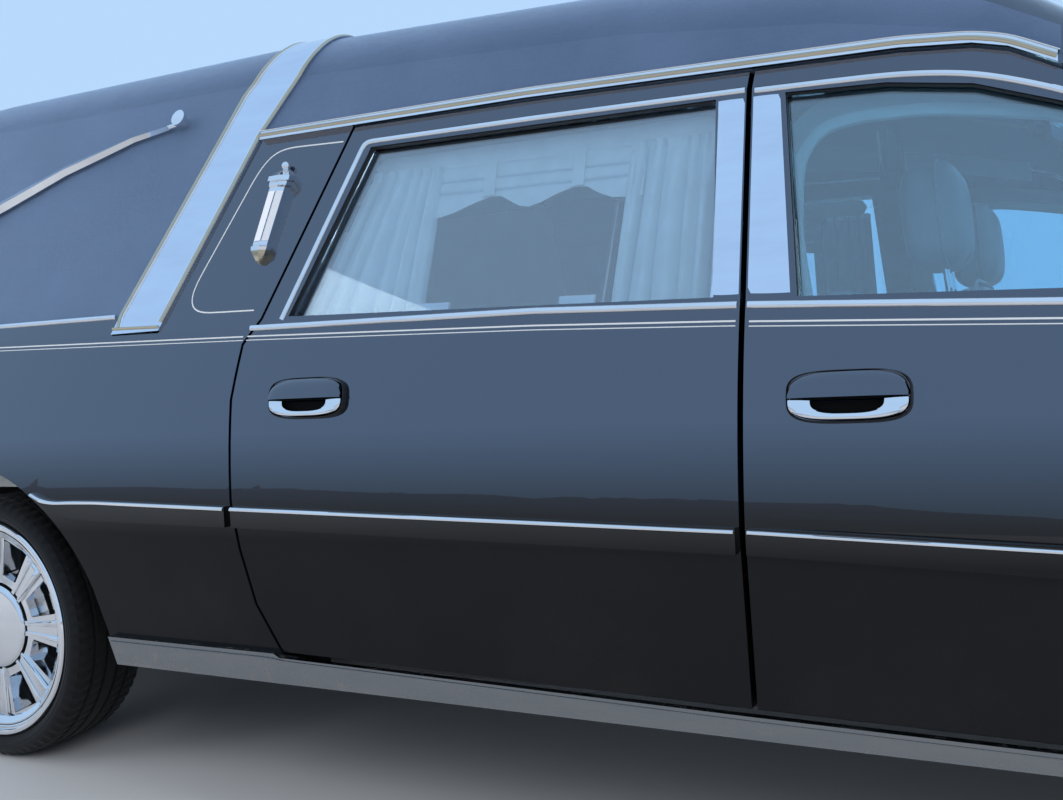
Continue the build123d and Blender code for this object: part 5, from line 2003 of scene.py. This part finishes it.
    def build(self) -> None:
        """Makes the frames, then each pad and its piping on the left and their mirrored copies."""
        self.frames()
        for pad in self.pads:
            maker = self.kit.maker(f"{pad.name}_left", "grey_leather")
            shell = pad.settle(self.shell(pad))
            maker.grid(shell, close_u=True).cap(shell[:, 0]).cap(shell[:, -1])
            obj = maker.build(180)
            self.swell(obj, pad)
            self.sew(obj, pad)
            obj.data.polygons.foreach_set("use_smooth", np.ones(len(obj.data.polygons), bool))
            other = self.mirror(obj, f"{pad.name}_right")
            for piece in (obj, other):
                divide = piece.modifiers.new("soften", "SUBSURF")
                divide.levels = divide.render_levels = 1
            welt = self.kit.maker(f"{pad.name}_piping_left", "grey_leather")
            self.piping(welt, pad)
            welt_left = welt.build(180)
            welt_right = self.mirror(welt_left, f"{pad.name}_piping_right")
            for piece in (obj, other, welt_left, welt_right):
                self.kit.ride(piece, "body", "grey_leather")


@dataclass
class NosePlan:
    """Plan curve of the nose, for what sits in the front face.

    Attributes:
        corner: the corner's arc as three points x, y.
    """

    front_x: float = 3112.0
    radius: float = 5553.6
    corner: Outline = ((3075.0, 640.0), (2980.0, 814.0), (2800.0, 897.0))

    def face(self, y: Any) -> Any:
        """Returns x of the face's arc at y, in mm."""
        return self.front_x - (self.radius - np.sqrt(self.radius ** 2 - y ** 2))

    def curve(self, inner: float, back: float, inset: float) -> tuple[np.ndarray, np.ndarray]:
        """Left half of the nose: the face's arc, then the corner's arc, moved in along its normals.

        Args:
            inner: y where it starts in mm.
            back: x where it ends in mm.
            inset: distance behind the skin in mm.

        Returns:
            Points in mm and outward normals.
        """
        corner_y = self.corner[0][1]
        front = np.linspace(inner, corner_y, 18)
        corner = arc_through(*np.array(self.corner), 60)
        corner = corner[(corner[:, 0] > back) & (corner[:, 1] > corner_y + 0.5)]
        line = np.concatenate([np.stack([self.face(front), front], axis=1), corner])
        along = unit(np.gradient(line, axis=0))
        out = np.stack([along[:, 1], -along[:, 0]], axis=1)
        return line - out * inset, out


@dataclass
class FrontFace:
    """Headlamps with reflectors under a clear lens, the intake's slats and the wipers.

    Attributes:
        plan: the nose's curve.
        lens: section of the lens as (up, outward).
        tray: section of the housing behind it.
        side_reflector: section of the reflector in the lamp's corner.
        bowls: y and radius of each reflector bowl.
        bulb: a bulb's profile as (radius, forward).
        slats: lowest slat, end of the slats and their spacing in z.
        wipers: foot of the arm, inner and outer end of the blade as x, y.
        pivot_cap: profile of a pivot's cap as (radius, rise).
    """

    kit: Kit
    plan: NosePlan = field(default_factory=NosePlan)
    lamp_y: float = 434.0
    lamp_z: float = 674.0
    lens: Outline = ((-72, -4), (-72, -1), (-70, 0.4), (0, 1.4), (70, 0.4), (72, -1), (72, -4), (0, -3))
    tray: Outline = ((-73, -5), (-73, -62), (73, -62), (73, -5), (71, -5), (71, -59), (-71, -59), (-71, -5))
    side_reflector: Outline = ((-58, -6), (-58, 3), (-50, 6), (50, 6), (58, 3), (58, -6))
    bowls: Outline = ((506, 58), (640, 54))
    bulb: Outline = ((0.3, 27), (7, 24), (9, 16), (9, 3))
    slats: tuple[int, int, int] = (304, 386, 11)
    wipers: tuple[Outline, ...] = (
        ((1600, 330), (1556, -210), (1400, 500)),
        ((1600, -250), (1556, -640), (1400, 40)),
    )
    pivot_z: float = 975.0
    pivot_cap: Outline = ((15, -12), (15, 4), (12, 9), (0.3, 10))

    def course(self, back: float, inset: float, side: Side,
               ahead: float = 4000.0) -> tuple[np.ndarray, np.ndarray]:
        """Path round the nose at the lamps' height.

        Args:
            back: x where the path ends in mm.
            inset: distance behind the skin in mm.
            side: which side of the vehicle.
            ahead: x beyond which points are left out.

        Returns:
            The path in metres and its outward vectors.
        """
        flat, out = self.plan.curve(self.lamp_y, back, inset)
        keep = flat[:, 0] < ahead
        turn = np.array([1.0, side.value, 1.0])
        level = np.full(keep.sum(), self.lamp_z)
        path = np.column_stack([flat[keep], level]) * MM * turn
        return path, np.column_stack([out[keep], 0 * level]) * turn

    def headlamp(self, side: Side) -> bpy.types.Object:
        """One headlamp: lens, housing, two bowls (parabolas, turned) with bulbs, and a side reflector.

        Args:
            side: which side of the vehicle.

        Returns:
            The lamp.
        """
        maker = self.kit.maker(f"headlamp_{side.word}", "clear_lens", "wheel_chrome", "lamp_pane",
                               "amber_lens")
        path, out = self.course(2856, 3.5, side)
        maker.sweep(path, UP, out, np.array(self.lens, float), 0)
        maker.sweep(path, UP, out, np.array(self.tray, float), 1)
        for y, radius in self.bowls:
            centre = (self.plan.face(y) - 56, y, self.lamp_z)
            bowl = [(radius * 1.12, 30), (radius * 1.12, 40), (radius * 1.02, 41)]
            bowl += [(radius * k, 2 + 38 * k * k) for k in np.linspace(1, 0.1, 12)]
            for rows, slot in ((bowl, 1), (self.bulb, 2)):
                maker.grid(turned(rows, centre, 0, 40) * [1, side.value, 1] * MM, close_u=True, slot=slot)
        path, out = self.course(2870, 30.0, side, 2965)
        maker.sweep(path, UP, out, np.array(self.side_reflector, float), 3)
        return maker.build(35)

    def windscreen(self, x: float, y: float) -> np.ndarray:
        """Point of the windscreen's skin, read off the roof's section at x where its half width is |y|.

        Args:
            x: lengthwise place in mm.
            y: sideways place in mm.

        Returns:
            The point in mm.
        """
        wz = self.kit.form.section(np.full(300, x), np.linspace(0, 1, 300))
        order = np.argsort(wz[:, 0])
        return np.array([x, y, float(np.interp(abs(y), wz[order, 0], wz[order, 1]))])

    def intake(self) -> None:
        """Makes the intake's slats, bowed as x = front − 20 − y² / 11000."""
        maker = self.kit.maker("intake_slats", "black_rubber")
        for z in range(*self.slats):
            line = [(self.plan.front_x - 20 - y * y / 11000.0, y, z) for y in range(-424, 425, 53)]
            bar(maker, line, wedge(7, -1.6, 7, 1.6), step=40.0, smooth=0)
        self.kit.ride(maker.build(), "body", "black_paint")

    def wiper_pair(self) -> None:
        """Makes both wipers: a blade along the glass, an arm bowed over it and a cap on the pivot."""
        maker = self.kit.maker("wipers", "black_rubber")
        for foot, inner, outer in self.wipers:
            blade = [self.windscreen(x, y) + [4, 0, 9] for x, y in np.linspace(inner, outer, 14)]
            bar(maker, blade, wedge(3, -8, 5, 3), step=20.0)
            middle = blade[7] + [0, 0, 9]
            pivot = np.array([foot[0] + 14, foot[1], self.pivot_z])
            arm = [pivot, pivot + [-8, 0, 16], pivot * 0.5 + middle * 0.5 + [0, 0, 20], middle]
            bar(maker, arm, wedge(6, -3, 5, 4), step=14.0, smooth=3)
            maker.grid(turned(self.pivot_cap, pivot, 2, 24) * MM, close_u=True)
        self.kit.ride(maker.build(), "body", "black_paint")

    def build(self) -> None:
        """Makes the lamps, the slats and the wipers."""
        made = [self.headlamp(side) for side in Side]
        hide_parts("headlamps")
        for obj in made:
            self.kit.ride(obj, "body", "clear_lens")
        self.intake()
        self.wiper_pair()


@dataclass
class RearFace:
    """Tail-lamp ribs and frames, the loading door's brightwork, seal, handle and lining.

    Attributes:
        lamp: sides y0, y1, z0, z1 and corner radius of a lamp's frame.
        ribs: lowest rib, end of the ribs and their spacing in z.
        rib_points: a rib's points in y.
        clear: heights between which the ribs are clear.
        window: corners of the door's window as y, z.
        handle: sides and corner radius of the door's handle.
        handle_steps: scale and x of the handle's steps.
        lining: outline of the inner lining as y, z.
        lining_steps: scale and x of the lining's steps.
        sill_bar: half length and height of the bright bar over the sill.
    """

    kit: Kit
    lamp: tuple[float, ...] = (647, 805, 727, 1033, 16)
    ribs: tuple[int, int, int] = (742, 1025, 15)
    rib_points: tuple[float, ...] = (656, 730, 796)
    clear: tuple[float, float] = (868, 912)
    window: Outline = ((-450, 1120), (450, 1120), (405, 1480), (-405, 1480))
    handle: tuple[float, ...] = (-482, -358, 892, 948, 20)
    handle_steps: Outline = ((1.0, -3118), (1.0, -3126), (0.94, -3131), (0.5, -3142.5), (0.02, -3143))
    lining: Outline = ((-505, 690), (505, 690), (505, 1075), (470, 1092), (-470, 1092), (-505, 1075))
    lining_steps: Outline = ((1.0, -3058), (0.99, -3053), (0.9, -3051), (0.88, -3047), (0.02, -3047))
    sill_bar: tuple[float, float] = (536, 716)

    def tail_lamp(self, side: Side) -> None:
        """Makes the bright frame of a lamp and the ribs across it.

        Args:
            side: which side of the vehicle.
        """
        maker = self.kit.maker(f"tail_lamp_detail_{side.word}", "bright_chrome", "red_lens", "lamp_pane")
        loop = [(-3121.5, y * side.value, z) for y, z in rounded(*self.lamp)]
        bar(maker, loop, wedge(4, -1, 4, 3), step=9.0, smooth=0, closed=True, up=REARWARD)
        for z in range(*self.ribs):
            slot = 2 if self.clear[0] < z < self.clear[1] else 1
            rib = [(-3122, y * side.value, z) for y in self.rib_points]
            bar(maker, rib, wedge(6, -1, 4, 2.6), slot, 30.0, 0, up=REARWARD)
        self.kit.ride(maker.build(), "body", "red_lens")

    def loading_door(self) -> None:
        """Makes the frame and seal of the window, the handle, the sill's bar and the lining."""
        maker = self.kit.maker("loading_door_trim", "bright_chrome", "black_rubber", "pale_trim")
        frame = [(-3121, y, z) for y, z in self.window]
        bar(maker, frame, wedge(9, -1, 6, 5), step=10.0, smooth=3, closed=True, up=REARWARD)
        seal = [(-3110, y * 0.985, 1300 + (z - 1300) * 0.975) for y, z in self.window]
        bar(maker, seal, wedge(6, -6, 6, 6), 1, 10.0, 3, closed=True, up=REARWARD)
        maker.grid(stepped(rounded(*self.handle), (-420, 920), self.handle_steps) * MM, close_v=True)
        half, z = self.sill_bar
        bar(maker, [(-3122, y, z) for y in (-half, 0, half)], wedge(9, -1, 7, 5), step=60.0, smooth=0,
            up=REARWARD)
        lining = stepped(np.array(self.lining, float), (0, 880), self.lining_steps)
        maker.grid(lining * MM, close_v=True, slot=2)
        self.kit.ride(maker.build(30), "loading_door", "bright_chrome")

    def build(self) -> None:
        """Makes the lamp details and the loading door's details."""
        for side in Side:
            self.tail_lamp(side)
        self.loading_door()


@dataclass
class Dashboard:
    """Instrument hood, dials, vents, centre stack, glove box lid and column stalks.

    Attributes:
        edge: x and z of the edge where the dashboard's face bends,.
        dials: y of the dials' middles.
        dial: x and z of their middles, and their radius.
        vents: y of the vents' middles.
        slats: heights of a vent's slats.
        knobs: y of the knobs on the centre stack.
        knob: a knob's profile as (radius, forward).
        stalks: points of the column's stalks.
    """

    kit: Kit
    edge: tuple[float, float] = (1310.0, 820.0)
    column_y: float = 375.0
    dials: tuple[float, float] = (325, 425)
    dial: tuple[float, float, float] = (1315.4, 873.0, 27.0)
    vents: tuple[float, ...] = (-640, -160, 160, 610)
    slats: tuple[float, ...] = (868, 876, 884, 892)
    knobs: tuple[float, ...] = (-58, 0, 58)
    knob: Outline = ((17, 0), (17, -12), (14, -16), (0.3, -17))
    stalks: tuple[tuple[tuple[float, float, float], ...], ...] = (
        ((1262, 420, 858), (1256, 480, 868), (1250, 530, 872)),
        ((1262, 330, 858), (1256, 275, 866), (1250, 225, 868)),
    )

    def hood(self, maker: MeshMaker) -> None:
        """Adds the instrument hood: a squared arch across, rising by a sine and falling away forward.

        Args:
            maker: where it goes.
        """
        y, t = span_grid((self.column_y - 160, self.column_y + 160, 40), (0, 1, 18))
        crown = np.sqrt(np.clip(1 - ((y - self.column_y) / 160.0) ** 4, 0, 1))
        z = 918 + 6 * t + crown * (34 * (1 - t) + 8) * np.sin(math.pi * (0.35 + 0.65 * t)) - 2
        maker.grid(np.stack([1318 + 150 * t, y, z], axis=-1) * MM)

    def plate(self, maker: MeshMaker, sides: Sequence[float], slot: int, radius: float, thick: float) -> None:
        """Adds a raised plate on the face, which slopes by 0.2 above its edge and by 0.278 below it.

        Args:
            maker: where it goes.
            sides: y0, y1, z0 and z1 in mm.
            slot: index of the material.
            radius: corner radius in mm.
            thick: height off the face in mm.
        """
        ring = rounded(*sides, radius)
        steps = ((1.0, 0.0), (1.0, -thick), (0.94, -thick - 2.0), (0.02, -thick - 2.0))
        grid = stepped(ring, ring.mean(0), steps)
        rise = grid[..., 2] - self.edge[1]
        grid[..., 0] += self.edge[0] + np.where(rise > 0, rise * 0.2, -rise * 0.278)
        maker.grid(grid * MM, close_v=True, slot=slot)

    def build(self) -> None:
        """Makes every detail of the dashboard in one mesh."""
        maker = self.kit.maker("dashboard_details", "grey_trim", "dark_recess", "bright_chrome")
        self.hood(maker)
        self.plate(maker, (270, 480, 838, 908), 1, 26, 2)
        dial_x, dial_z, dial_radius = self.dial
        for y in self.dials:
            ring = turned([(dial_radius, 0)], (dial_x, y, dial_z), 0, 36)[:, 0]
            bar(maker, list(ring), round_bar(1.8, 8), 2, 5.0, 0, True, REARWARD)
        for y in self.vents:
            self.plate(maker, (y - 52, y + 52, 856, 904), 2, 14, 1)
            self.plate(maker, (y - 47, y + 47, 861, 899), 1, 11, 2.5)
            for z in self.slats:
                bar(maker, [(1318, y - 44, z), (1318, y + 44, z)], round_bar(1.6, 6), step=40.0, smooth=0)
        self.plate(maker, (-105, 105, 660, 842), 0, 16, 6)
        self.plate(maker, (-84, 84, 770, 832), 1, 8, 10)
        for y in self.knobs:
            maker.grid(turned(self.knob, (1333, y, 716), 0, 24) * MM, close_u=True, slot=2)
        self.plate(maker, (-600, -260, 690, 826), 0, 20, 3)
        for stalk in self.stalks:
            bar(maker, stalk, round_bar(5.5), step=10.0)
        self.kit.ride(maker.build(35), "body", "grey_trim")


@dataclass
class Cabin:
    """Headliner, side linings, door panels, dashboard, deck rails and mirror glasses.

    Attributes:
        roof: rear and front end of the headliner.
        load: rear and front end of the side linings.
        panel_z: lower and upper edge of a door's panel.
        doors: door, and rear and front end of its panel.
        runners: y of the deck's runners.
        runner_x: a runner's points in x.
        pins: x and y of the bier pins.
        pin: a pin's profile as (radius, rise).
        mirror: sides y0, y1, z0, z1 and corner radius of a mirror's glass.
        mirror_middle: middle of the glass as y, z.
        mirror_steps: slot of the finish, and scale and x of the steps, for the rim and the glass.
    """

    kit: Kit
    roof: tuple[float, float] = (-3040.0, 840.0)
    seams: float = 485.0
    load: tuple[float, float] = (-3030.0, -660.0)
    tuft: float = 236.0
    panel_z: tuple[float, float] = (372.0, 968.0)
    doors: tuple[tuple[str, float, float], ...] = (("rear_door", -500, 425), ("front_door", 515, 1478))
    runners: tuple[float, ...] = (-430, -310, 310, 430)
    runner_x: tuple[float, ...] = (-2980, -1200, 400)
    pins: tuple[tuple[float, float], ...] = ((-2700, -215), (-2700, 215), (60, -215), (60, 215))
    pin: Outline = ((26, 0), (26, 5), (9, 7), (9, 24), (15, 25), (15, 29), (0.3, 29))
    mirror: tuple[float, ...] = (945, 1060, 995, 1095, 22)
    mirror_middle: tuple[float, float] = (1002.5, 1045.0)
    mirror_steps: tuple[tuple[int, Outline], ...] = (
        (1, ((1.05, 1300.6), (1.05, 1298.0), (1.0, 1297.2), (0.98, 1299.0))),
        (0, ((0.98, 1299.0), (0.5, 1298.6), (0.01, 1298.5))),
    )

    def inward(self, x: np.ndarray, s: np.ndarray, inset: float) -> np.ndarray:
        """Points of the roof's section moved inward along its normals.

        Args:
            x: lengthwise places in mm.
            s: places along the section, 0 at the belt to 1 at the crown.
            inset: distance in mm.

        Returns:
            Points as (w, z) in mm.
        """
        wz = self.kit.form.section(x, s)
        along = unit(np.gradient(wz, axis=0))
        return wz - np.stack([along[:, 1], -along[:, 0]], axis=1) * inset

    def headliner(self) -> None:
        """Makes the roof lining 50 mm inside the skin, drawn up by a bell-shaped dip at each seam."""
        maker = self.kit.maker("headliner", "pale_trim")
        s = np.linspace(0.3, 1.0, 60)
        rows = []
        for x in np.linspace(*self.roof, 110):
            dip = 3.0 * math.exp(-(((x - self.roof[0]) % self.seams - 242) / 9.0) ** 2)
            place = np.full(len(s), x)
            wz = self.inward(place, s, 50.0 - dip)
            half = np.column_stack([place, -wz[:, 0], wz[:, 1]])
            rows.append(np.concatenate([half, half[::-1][1:] * [1, -1, 1]]))
        maker.grid(np.array(rows) * MM)
        self.kit.ride(maker.build(), "body", "grey_trim")

    def lining(self, side: Side) -> None:
        """Makes the padded lining of the load space above and below the belt, tufted as |sin|^0.5 along it.

        Args:
            side: which side of the vehicle.
        """
        maker = self.kit.maker(f"load_lining_{side.word}", "pale_trim")
        x, z = span_grid((*self.load, 120), (1078, 1500, 36))
        tuft = 5.0 * abs(np.sin((x - self.load[0]) / self.tuft * math.pi)) ** 0.5
        for height, deep in ((z, 58.0), (696 + (z - 1078) * 0.876, 118.0)):
            maker.grid(self.kit.form.points(x, height, side, -(deep - tuft)), flip=side is Side.LEFT)
        self.kit.ride(maker.build(), "body", "grey_trim")

    def door_panel(self, name: str, rear: float, front: float, side: Side) -> None:
        """Makes a door's inner panel with its armrest and pocket, bells in height cut off at both ends.

        Args:
            name: the door without its side.
            rear: rear end in mm.
            front: front end in mm.
            side: which side of the vehicle.
        """
        maker = self.kit.maker(f"{name}_panel_{side.word}", "grey_trim", "bright_chrome")
        low, high = self.panel_z
        x, z = span_grid((rear, front, 70), (low, high, 90))
        run = (x - rear) / (front - rear)
        rest = (42.0 * np.exp(-((z - 716) / 40.0) ** 4)
                * np.clip(np.minimum(run - 0.1, 0.9 - run) / 0.08, 0, 1))
        ends = np.clip(np.minimum(run - 0.14, 0.8 - run) / 0.05, 0, 1)
        pocket = 26.0 * np.exp(-((z - 470) / 62.0) ** 6) * ends
        groove = 3.0 * np.exp(-((z - 800) / 5.0) ** 2) + 3.0 * np.exp(-((z - 600) / 5.0) ** 2)
        edge = np.minimum(np.minimum(x - rear, front - x), np.minimum(z - low, high - z))
        deep = 111.5 + (6.0 + rest + pocket - groove) * np.clip(edge / 10.0, 0, 1) ** 0.5
        maker.grid(self.kit.form.points(x, z, side, -deep), flip=side is Side.LEFT)
        handle = [(front - 190, 842), (front - 150, 842), (front - 110, 842)]
        self.kit.strip(maker, resample(handle, 8.0), flat_bar(9.0, -119.0, 3.0, -126.0), side, 1)
        self.kit.ride(maker.build(50), f"{name}_{side.word}", "grey_trim")

    def deck(self) -> None:
        """Makes the deck's bright runners and bier pins."""
        maker = self.kit.maker("deck_rails", "bright_chrome")
        for y in self.runners:
            line = [(x, y, DECK_Z + 1) for x in self.runner_x]
            bar(maker, line, wedge(9, -1, 7, 5), step=300.0, smooth=0)
        for x, y in self.pins:
            maker.grid(turned(self.pin, (x, y, DECK_Z + 0.5), 2, 20) * MM, close_u=True)
        self.kit.ride(maker.build(30), "body", "bright_chrome")

    def mirror_glass(self, side: Side) -> None:
        """Makes a mirror's glass in its rim.

        Args:
            side: which side of the vehicle.
        """
        maker = self.kit.maker(f"mirror_glass_{side.word}", "bright_chrome", "black_rubber")
        ring = rounded(*self.mirror)
        for slot, steps in self.mirror_steps:
            grid = stepped(ring, self.mirror_middle, steps) * [1, side.value, 1]
            maker.grid(grid * MM, close_v=True, slot=slot)
        self.kit.ride(maker.build(30), f"front_door_{side.word}", "black_paint")

    def build(self) -> None:
        """Makes every lining and detail of the cabin."""
        self.headliner()
        Dashboard(self.kit).build()
        self.deck()
        for side in Side:
            self.lining(side)
            self.mirror_glass(side)
            for name, rear, front in self.doors:
                self.door_panel(name, rear, front, side)


@dataclass
class Tyres:
    """Tyres with circumferential grooves, tread blocks and sidewall rings.

    Attributes:
        profile: outer half of the section as (radius, outward), from the bead to mid tread.
    """

    kit: Kit
    profile: Outline = (
        (250.6, 84), (262, 87), (276, 89), (279, 93), (283, 101), (287, 105.5), (289, 105.5), (291, 108),
        (297, 110), (299, 111.2), (301, 110.2), (306, 111.2), (309, 110.2), (311, 110.4), (318, 107),
        (324, 103), (328.5, 98.5), (331, 94), (332.6, 89), (333.6, 83), (334.2, 74), (334.6, 66),
        (334.7, 60), (327, 58), (327, 52), (334.8, 50), (334.9, 40), (335, 30), (335, 23), (327, 21),
        (327, 15), (335, 13), (335, 6), (335, 0),
    )
    columns: int = 288
    blocks: int = 72
    cut: float = 3.4
    notch: float = 4.0

    def build(self) -> None:
        """Makes one turned mesh for each wheel and hides the plain ring.

        A slit or a notch is where a sine round the tyre passes a threshold; there the radius is less.
        """
        half = np.array(self.profile, float)
        section = np.concatenate([half, half[::-1][1:] * [1, -1]])
        turn = turns(self.columns)[:, None]
        radius, across = (np.tile(section[:, k], (self.columns, 1)) for k in (0, 1))
        off = abs(across)
        slit = (np.sin(turn * self.blocks + across * 0.09) > 0.62) & (off > 22) & (radius > 330)
        radius = radius - slit * self.cut
        notch = (np.sin(turn * self.blocks + 1.2) > 0.35) & (off > 84) & (off < 104) & (radius > 322)
        radius = radius - notch * self.notch
        for name, x, y in WHEELS:
            points = [x + radius * np.sin(turn), y + across, AXLE_Z + radius * np.cos(turn)]
            maker = self.kit.maker(f"tread_{name}", "tyre_rubber")
            maker.grid(np.stack(points, axis=-1) * MM, close_u=True, close_v=True)
            obj = maker.build(28)
            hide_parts(f"tyre_{name}")
            self.kit.ride(obj, f"wheel_{name}", "tyre_rubber")


@dataclass
class Rocker:
    """Ribbed bright sill covers.

    Attributes:
        top: upper edge of the cover as x, z.
        foot: lower edge of the cover as x, z.
        ribs: distance below the upper edge, half width and height off the skin of each rib.
        foot_rib: half width and height off the skin of the rib at the lower edge.
    """

    kit: Kit
    top: Outline = ((-1036, 354), (-552, 354), (-530, 350), (478, 332), (1556, 320))
    foot: Outline = ((-1020, 303), (-530, 302), (478, 301), (1572, 300))
    ribs: tuple[tuple[float, float, float], ...] = ((4.0, 3.2, 21.0), (22.0, 1.5, 18.5))
    foot_rib: tuple[float, float] = (2.6, 20.0)

    def build(self) -> None:
        """Makes the rolled upper edge and two ribs on each side."""
        top = np.array(self.top, float)
        lines = [(resample(top - [0, drop], 14.0, 2), half, out) for drop, half, out in self.ribs]
        lines.append((resample(self.foot, 14.0), *self.foot_rib))
        for side in Side:
            maker = self.kit.maker(f"rocker_ribs_{side.word}", "rocker_steel")
            for path, half, out in lines:
                self.kit.strip(maker, path, oblong(half, out, 6, 6.0), side)
            self.kit.ride(maker.build(), "body", "bright_chrome")


@dataclass
class Studio:
    """Pale floor, soft lamps and the camera of the photograph; places and sizes in metres.

    Attributes:
        place: the camera.
        turn: its heading, tilt and roll in degrees, worked out from the photograph.
        focal: focal length in pixels of the photograph's width.
        lamps: name, place, target, size and power in watts of each area lamp.
        light: colour and strength of the world as it lights the object.
        sky: colour and strength of the world as it is seen and mirrored.
    """

    place: tuple[float, float, float] = (1.009, -2.651, 0.924)
    turn: tuple[float, float, float] = (28.1, -1.6, -2.9)
    focal: float = 1080.3
    photo_width: float = 1063.0
    lamps: tuple[tuple[Any, ...], ...] = (
        ("key", (4.5, -6.5, 5.5), (0, 0, 0.8), (6.0, 4.0), 260.0),
        ("fill", (-6.0, -5.0, 3.5), (-1, 0, 0.8), (5.0, 4.0), 130.0),
        ("back", (0.0, 6.5, 5.0), (0, 0, 1.0), (7.0, 4.0), 220.0),
        ("top", (0.0, 0.0, 8.0), (0, 0, 0), (9.0, 5.0), 160.0),
    )
    light: tuple[tuple[float, ...], float] = ((0.8, 0.88, 1.0, 1.0), 0.78)
    sky: tuple[tuple[float, ...], float] = ((0.49, 0.71, 1.0, 1.0), 0.98)

    def camera(self) -> None:
        """Sets up the camera: its axes from the heading and tilt, then rolled about the view."""
        heading, tilt, roll = (math.radians(a) for a in self.turn)
        level = math.cos(tilt)
        ahead = np.array([-math.sin(heading) * level, math.cos(heading) * level, math.sin(tilt)])
        right = np.array([math.cos(heading), math.sin(heading), 0.0])
        up = np.cross(right, ahead)
        right, up = (right * math.cos(roll) + up * math.sin(roll),
                     -right * math.sin(roll) + up * math.cos(roll))
        lens = bpy.data.cameras.new("camera")
        lens.sensor_fit = "HORIZONTAL"
        lens.sensor_width = 36.0
        lens.lens = 36.0 * self.focal / self.photo_width
        lens.clip_end = 200.0
        camera = bpy.data.objects.new("camera", lens)
        basis = Matrix((right, up, -ahead)).transposed().to_4x4()
        basis.translation = Vector(self.place)
        camera.matrix_world = basis
        bpy.context.scene.collection.objects.link(camera)
        bpy.context.scene.camera = camera

    def lamp(self, name: str, place: Sequence[float], target: Sequence[float], size: tuple[float, float],
             power: float) -> None:
        """Adds one area lamp that faces a target and that gloss doesn't mirror.

        Args:
            name: the lamp's name.
            place: where it stands.
            target: the point it faces.
            size: its width and height.
            power: its power in watts.
        """
        data = bpy.data.lights.new(name, "AREA")
        data.shape = "RECTANGLE"
        data.size, data.size_y = size
        data.energy = power
        lamp = bpy.data.objects.new(name, data)
        lamp.location = place
        lamp.visible_glossy = False
        lamp.rotation_euler = (Vector(target) - Vector(place)).to_track_quat("-Z", "Y").to_euler()
        bpy.context.scene.collection.objects.link(lamp)

    def world(self) -> None:
        """Sets up the world: plain light for the object, a sky blue for the camera, gloss and glass."""
        world = bpy.data.worlds.new("studio")
        world.use_nodes = True
        tree = world.node_tree
        tree.nodes.clear()
        rays = tree.nodes.new("ShaderNodeLightPath").outputs
        seen = rays["Is Camera Ray"]
        for ray in ("Is Transmission Ray", "Is Glossy Ray"):
            either = tree.nodes.new("ShaderNodeMath")
            either.operation = "MAXIMUM"
            tree.links.new(seen, either.inputs[0])
            tree.links.new(rays[ray], either.inputs[1])
            seen = either.outputs[0]
        mix = tree.nodes.new("ShaderNodeMixShader")
        tree.links.new(seen, mix.inputs["Fac"])
        for index, (colour, strength) in enumerate((self.light, self.sky), 1):
            shade = tree.nodes.new("ShaderNodeBackground")
            shade.inputs["Color"].default_value = colour
            shade.inputs["Strength"].default_value = strength
            tree.links.new(shade.outputs[0], mix.inputs[index])
        out = tree.nodes.new("ShaderNodeOutputWorld")
        tree.links.new(mix.outputs[0], out.inputs["Surface"])
        bpy.context.scene.world = world

    def floor(self) -> None:
        """Lays a broad pale floor just under the wheels."""
        graph = NodeGraph("studio_floor")
        graph.put("Roughness", 0.75)
        tone = graph.ramp(graph.noise(1.4, 3.0), [(0.3, (0.5, 0.505, 0.515)), (0.7, (0.53, 0.535, 0.545))])
        graph.link(tone, graph.shader.inputs["Base Color"])
        maker = MeshMaker("studio_floor", [graph.material])
        x, y = span_grid((-400, 400, 3), (-400, 400, 3))
        maker.grid(np.stack([x, y, np.full_like(x, -0.001)], axis=-1))
        maker.build()

    def build(self) -> None:
        """Puts up the whole studio."""
        self.camera()
        self.world()
        self.floor()
        for lamp in self.lamps:
            self.lamp(*lamp)
        bpy.context.scene.view_settings.view_transform = "Standard"


@dataclass
class FrameFinishes:
    """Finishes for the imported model's nodes that stay.

    Attributes:
        tinted: nodes with the deeper tint of the front glass.
    """

    kit: Kit
    tinted: tuple[str, ...] = ("front_glass_left", "front_glass_right", "windshield")

    def build(self) -> None:
        """Gives each node the finish of its material slot, and the front glass its own tint."""
        slots = {part["node"]: part["material_slot"] for part in self.kit.frame["record"]["subparts"]}
        for name, obj in self.kit.frame["nodes"].items():
            finish = "front_tint" if name in self.tinted else slots.get(name, "black_paint")
            self.kit.palette.coat(obj, finish)


def main() -> None:
    """Builds the studio, the finishes and every sub-assembly in order."""
    logging.basicConfig(level=logging.INFO)
    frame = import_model()
    kit = Kit(frame, Palette(FINISHES), BodyForm())
    Studio().build()
    FrameFinishes(kit).build()
    for part in (Seats, Cabin, FrontFace, RearFace, Drapes, Garnish, SideTrims, CentrePlates, DripMoulding,
                 LandauBand, CoachLamps, DoorHandles, WheelTrim, Tyres, Rocker):
        LOG.info("building %s", part.__name__)
        part(kit).build()


if __name__ == "__main__":
    main()
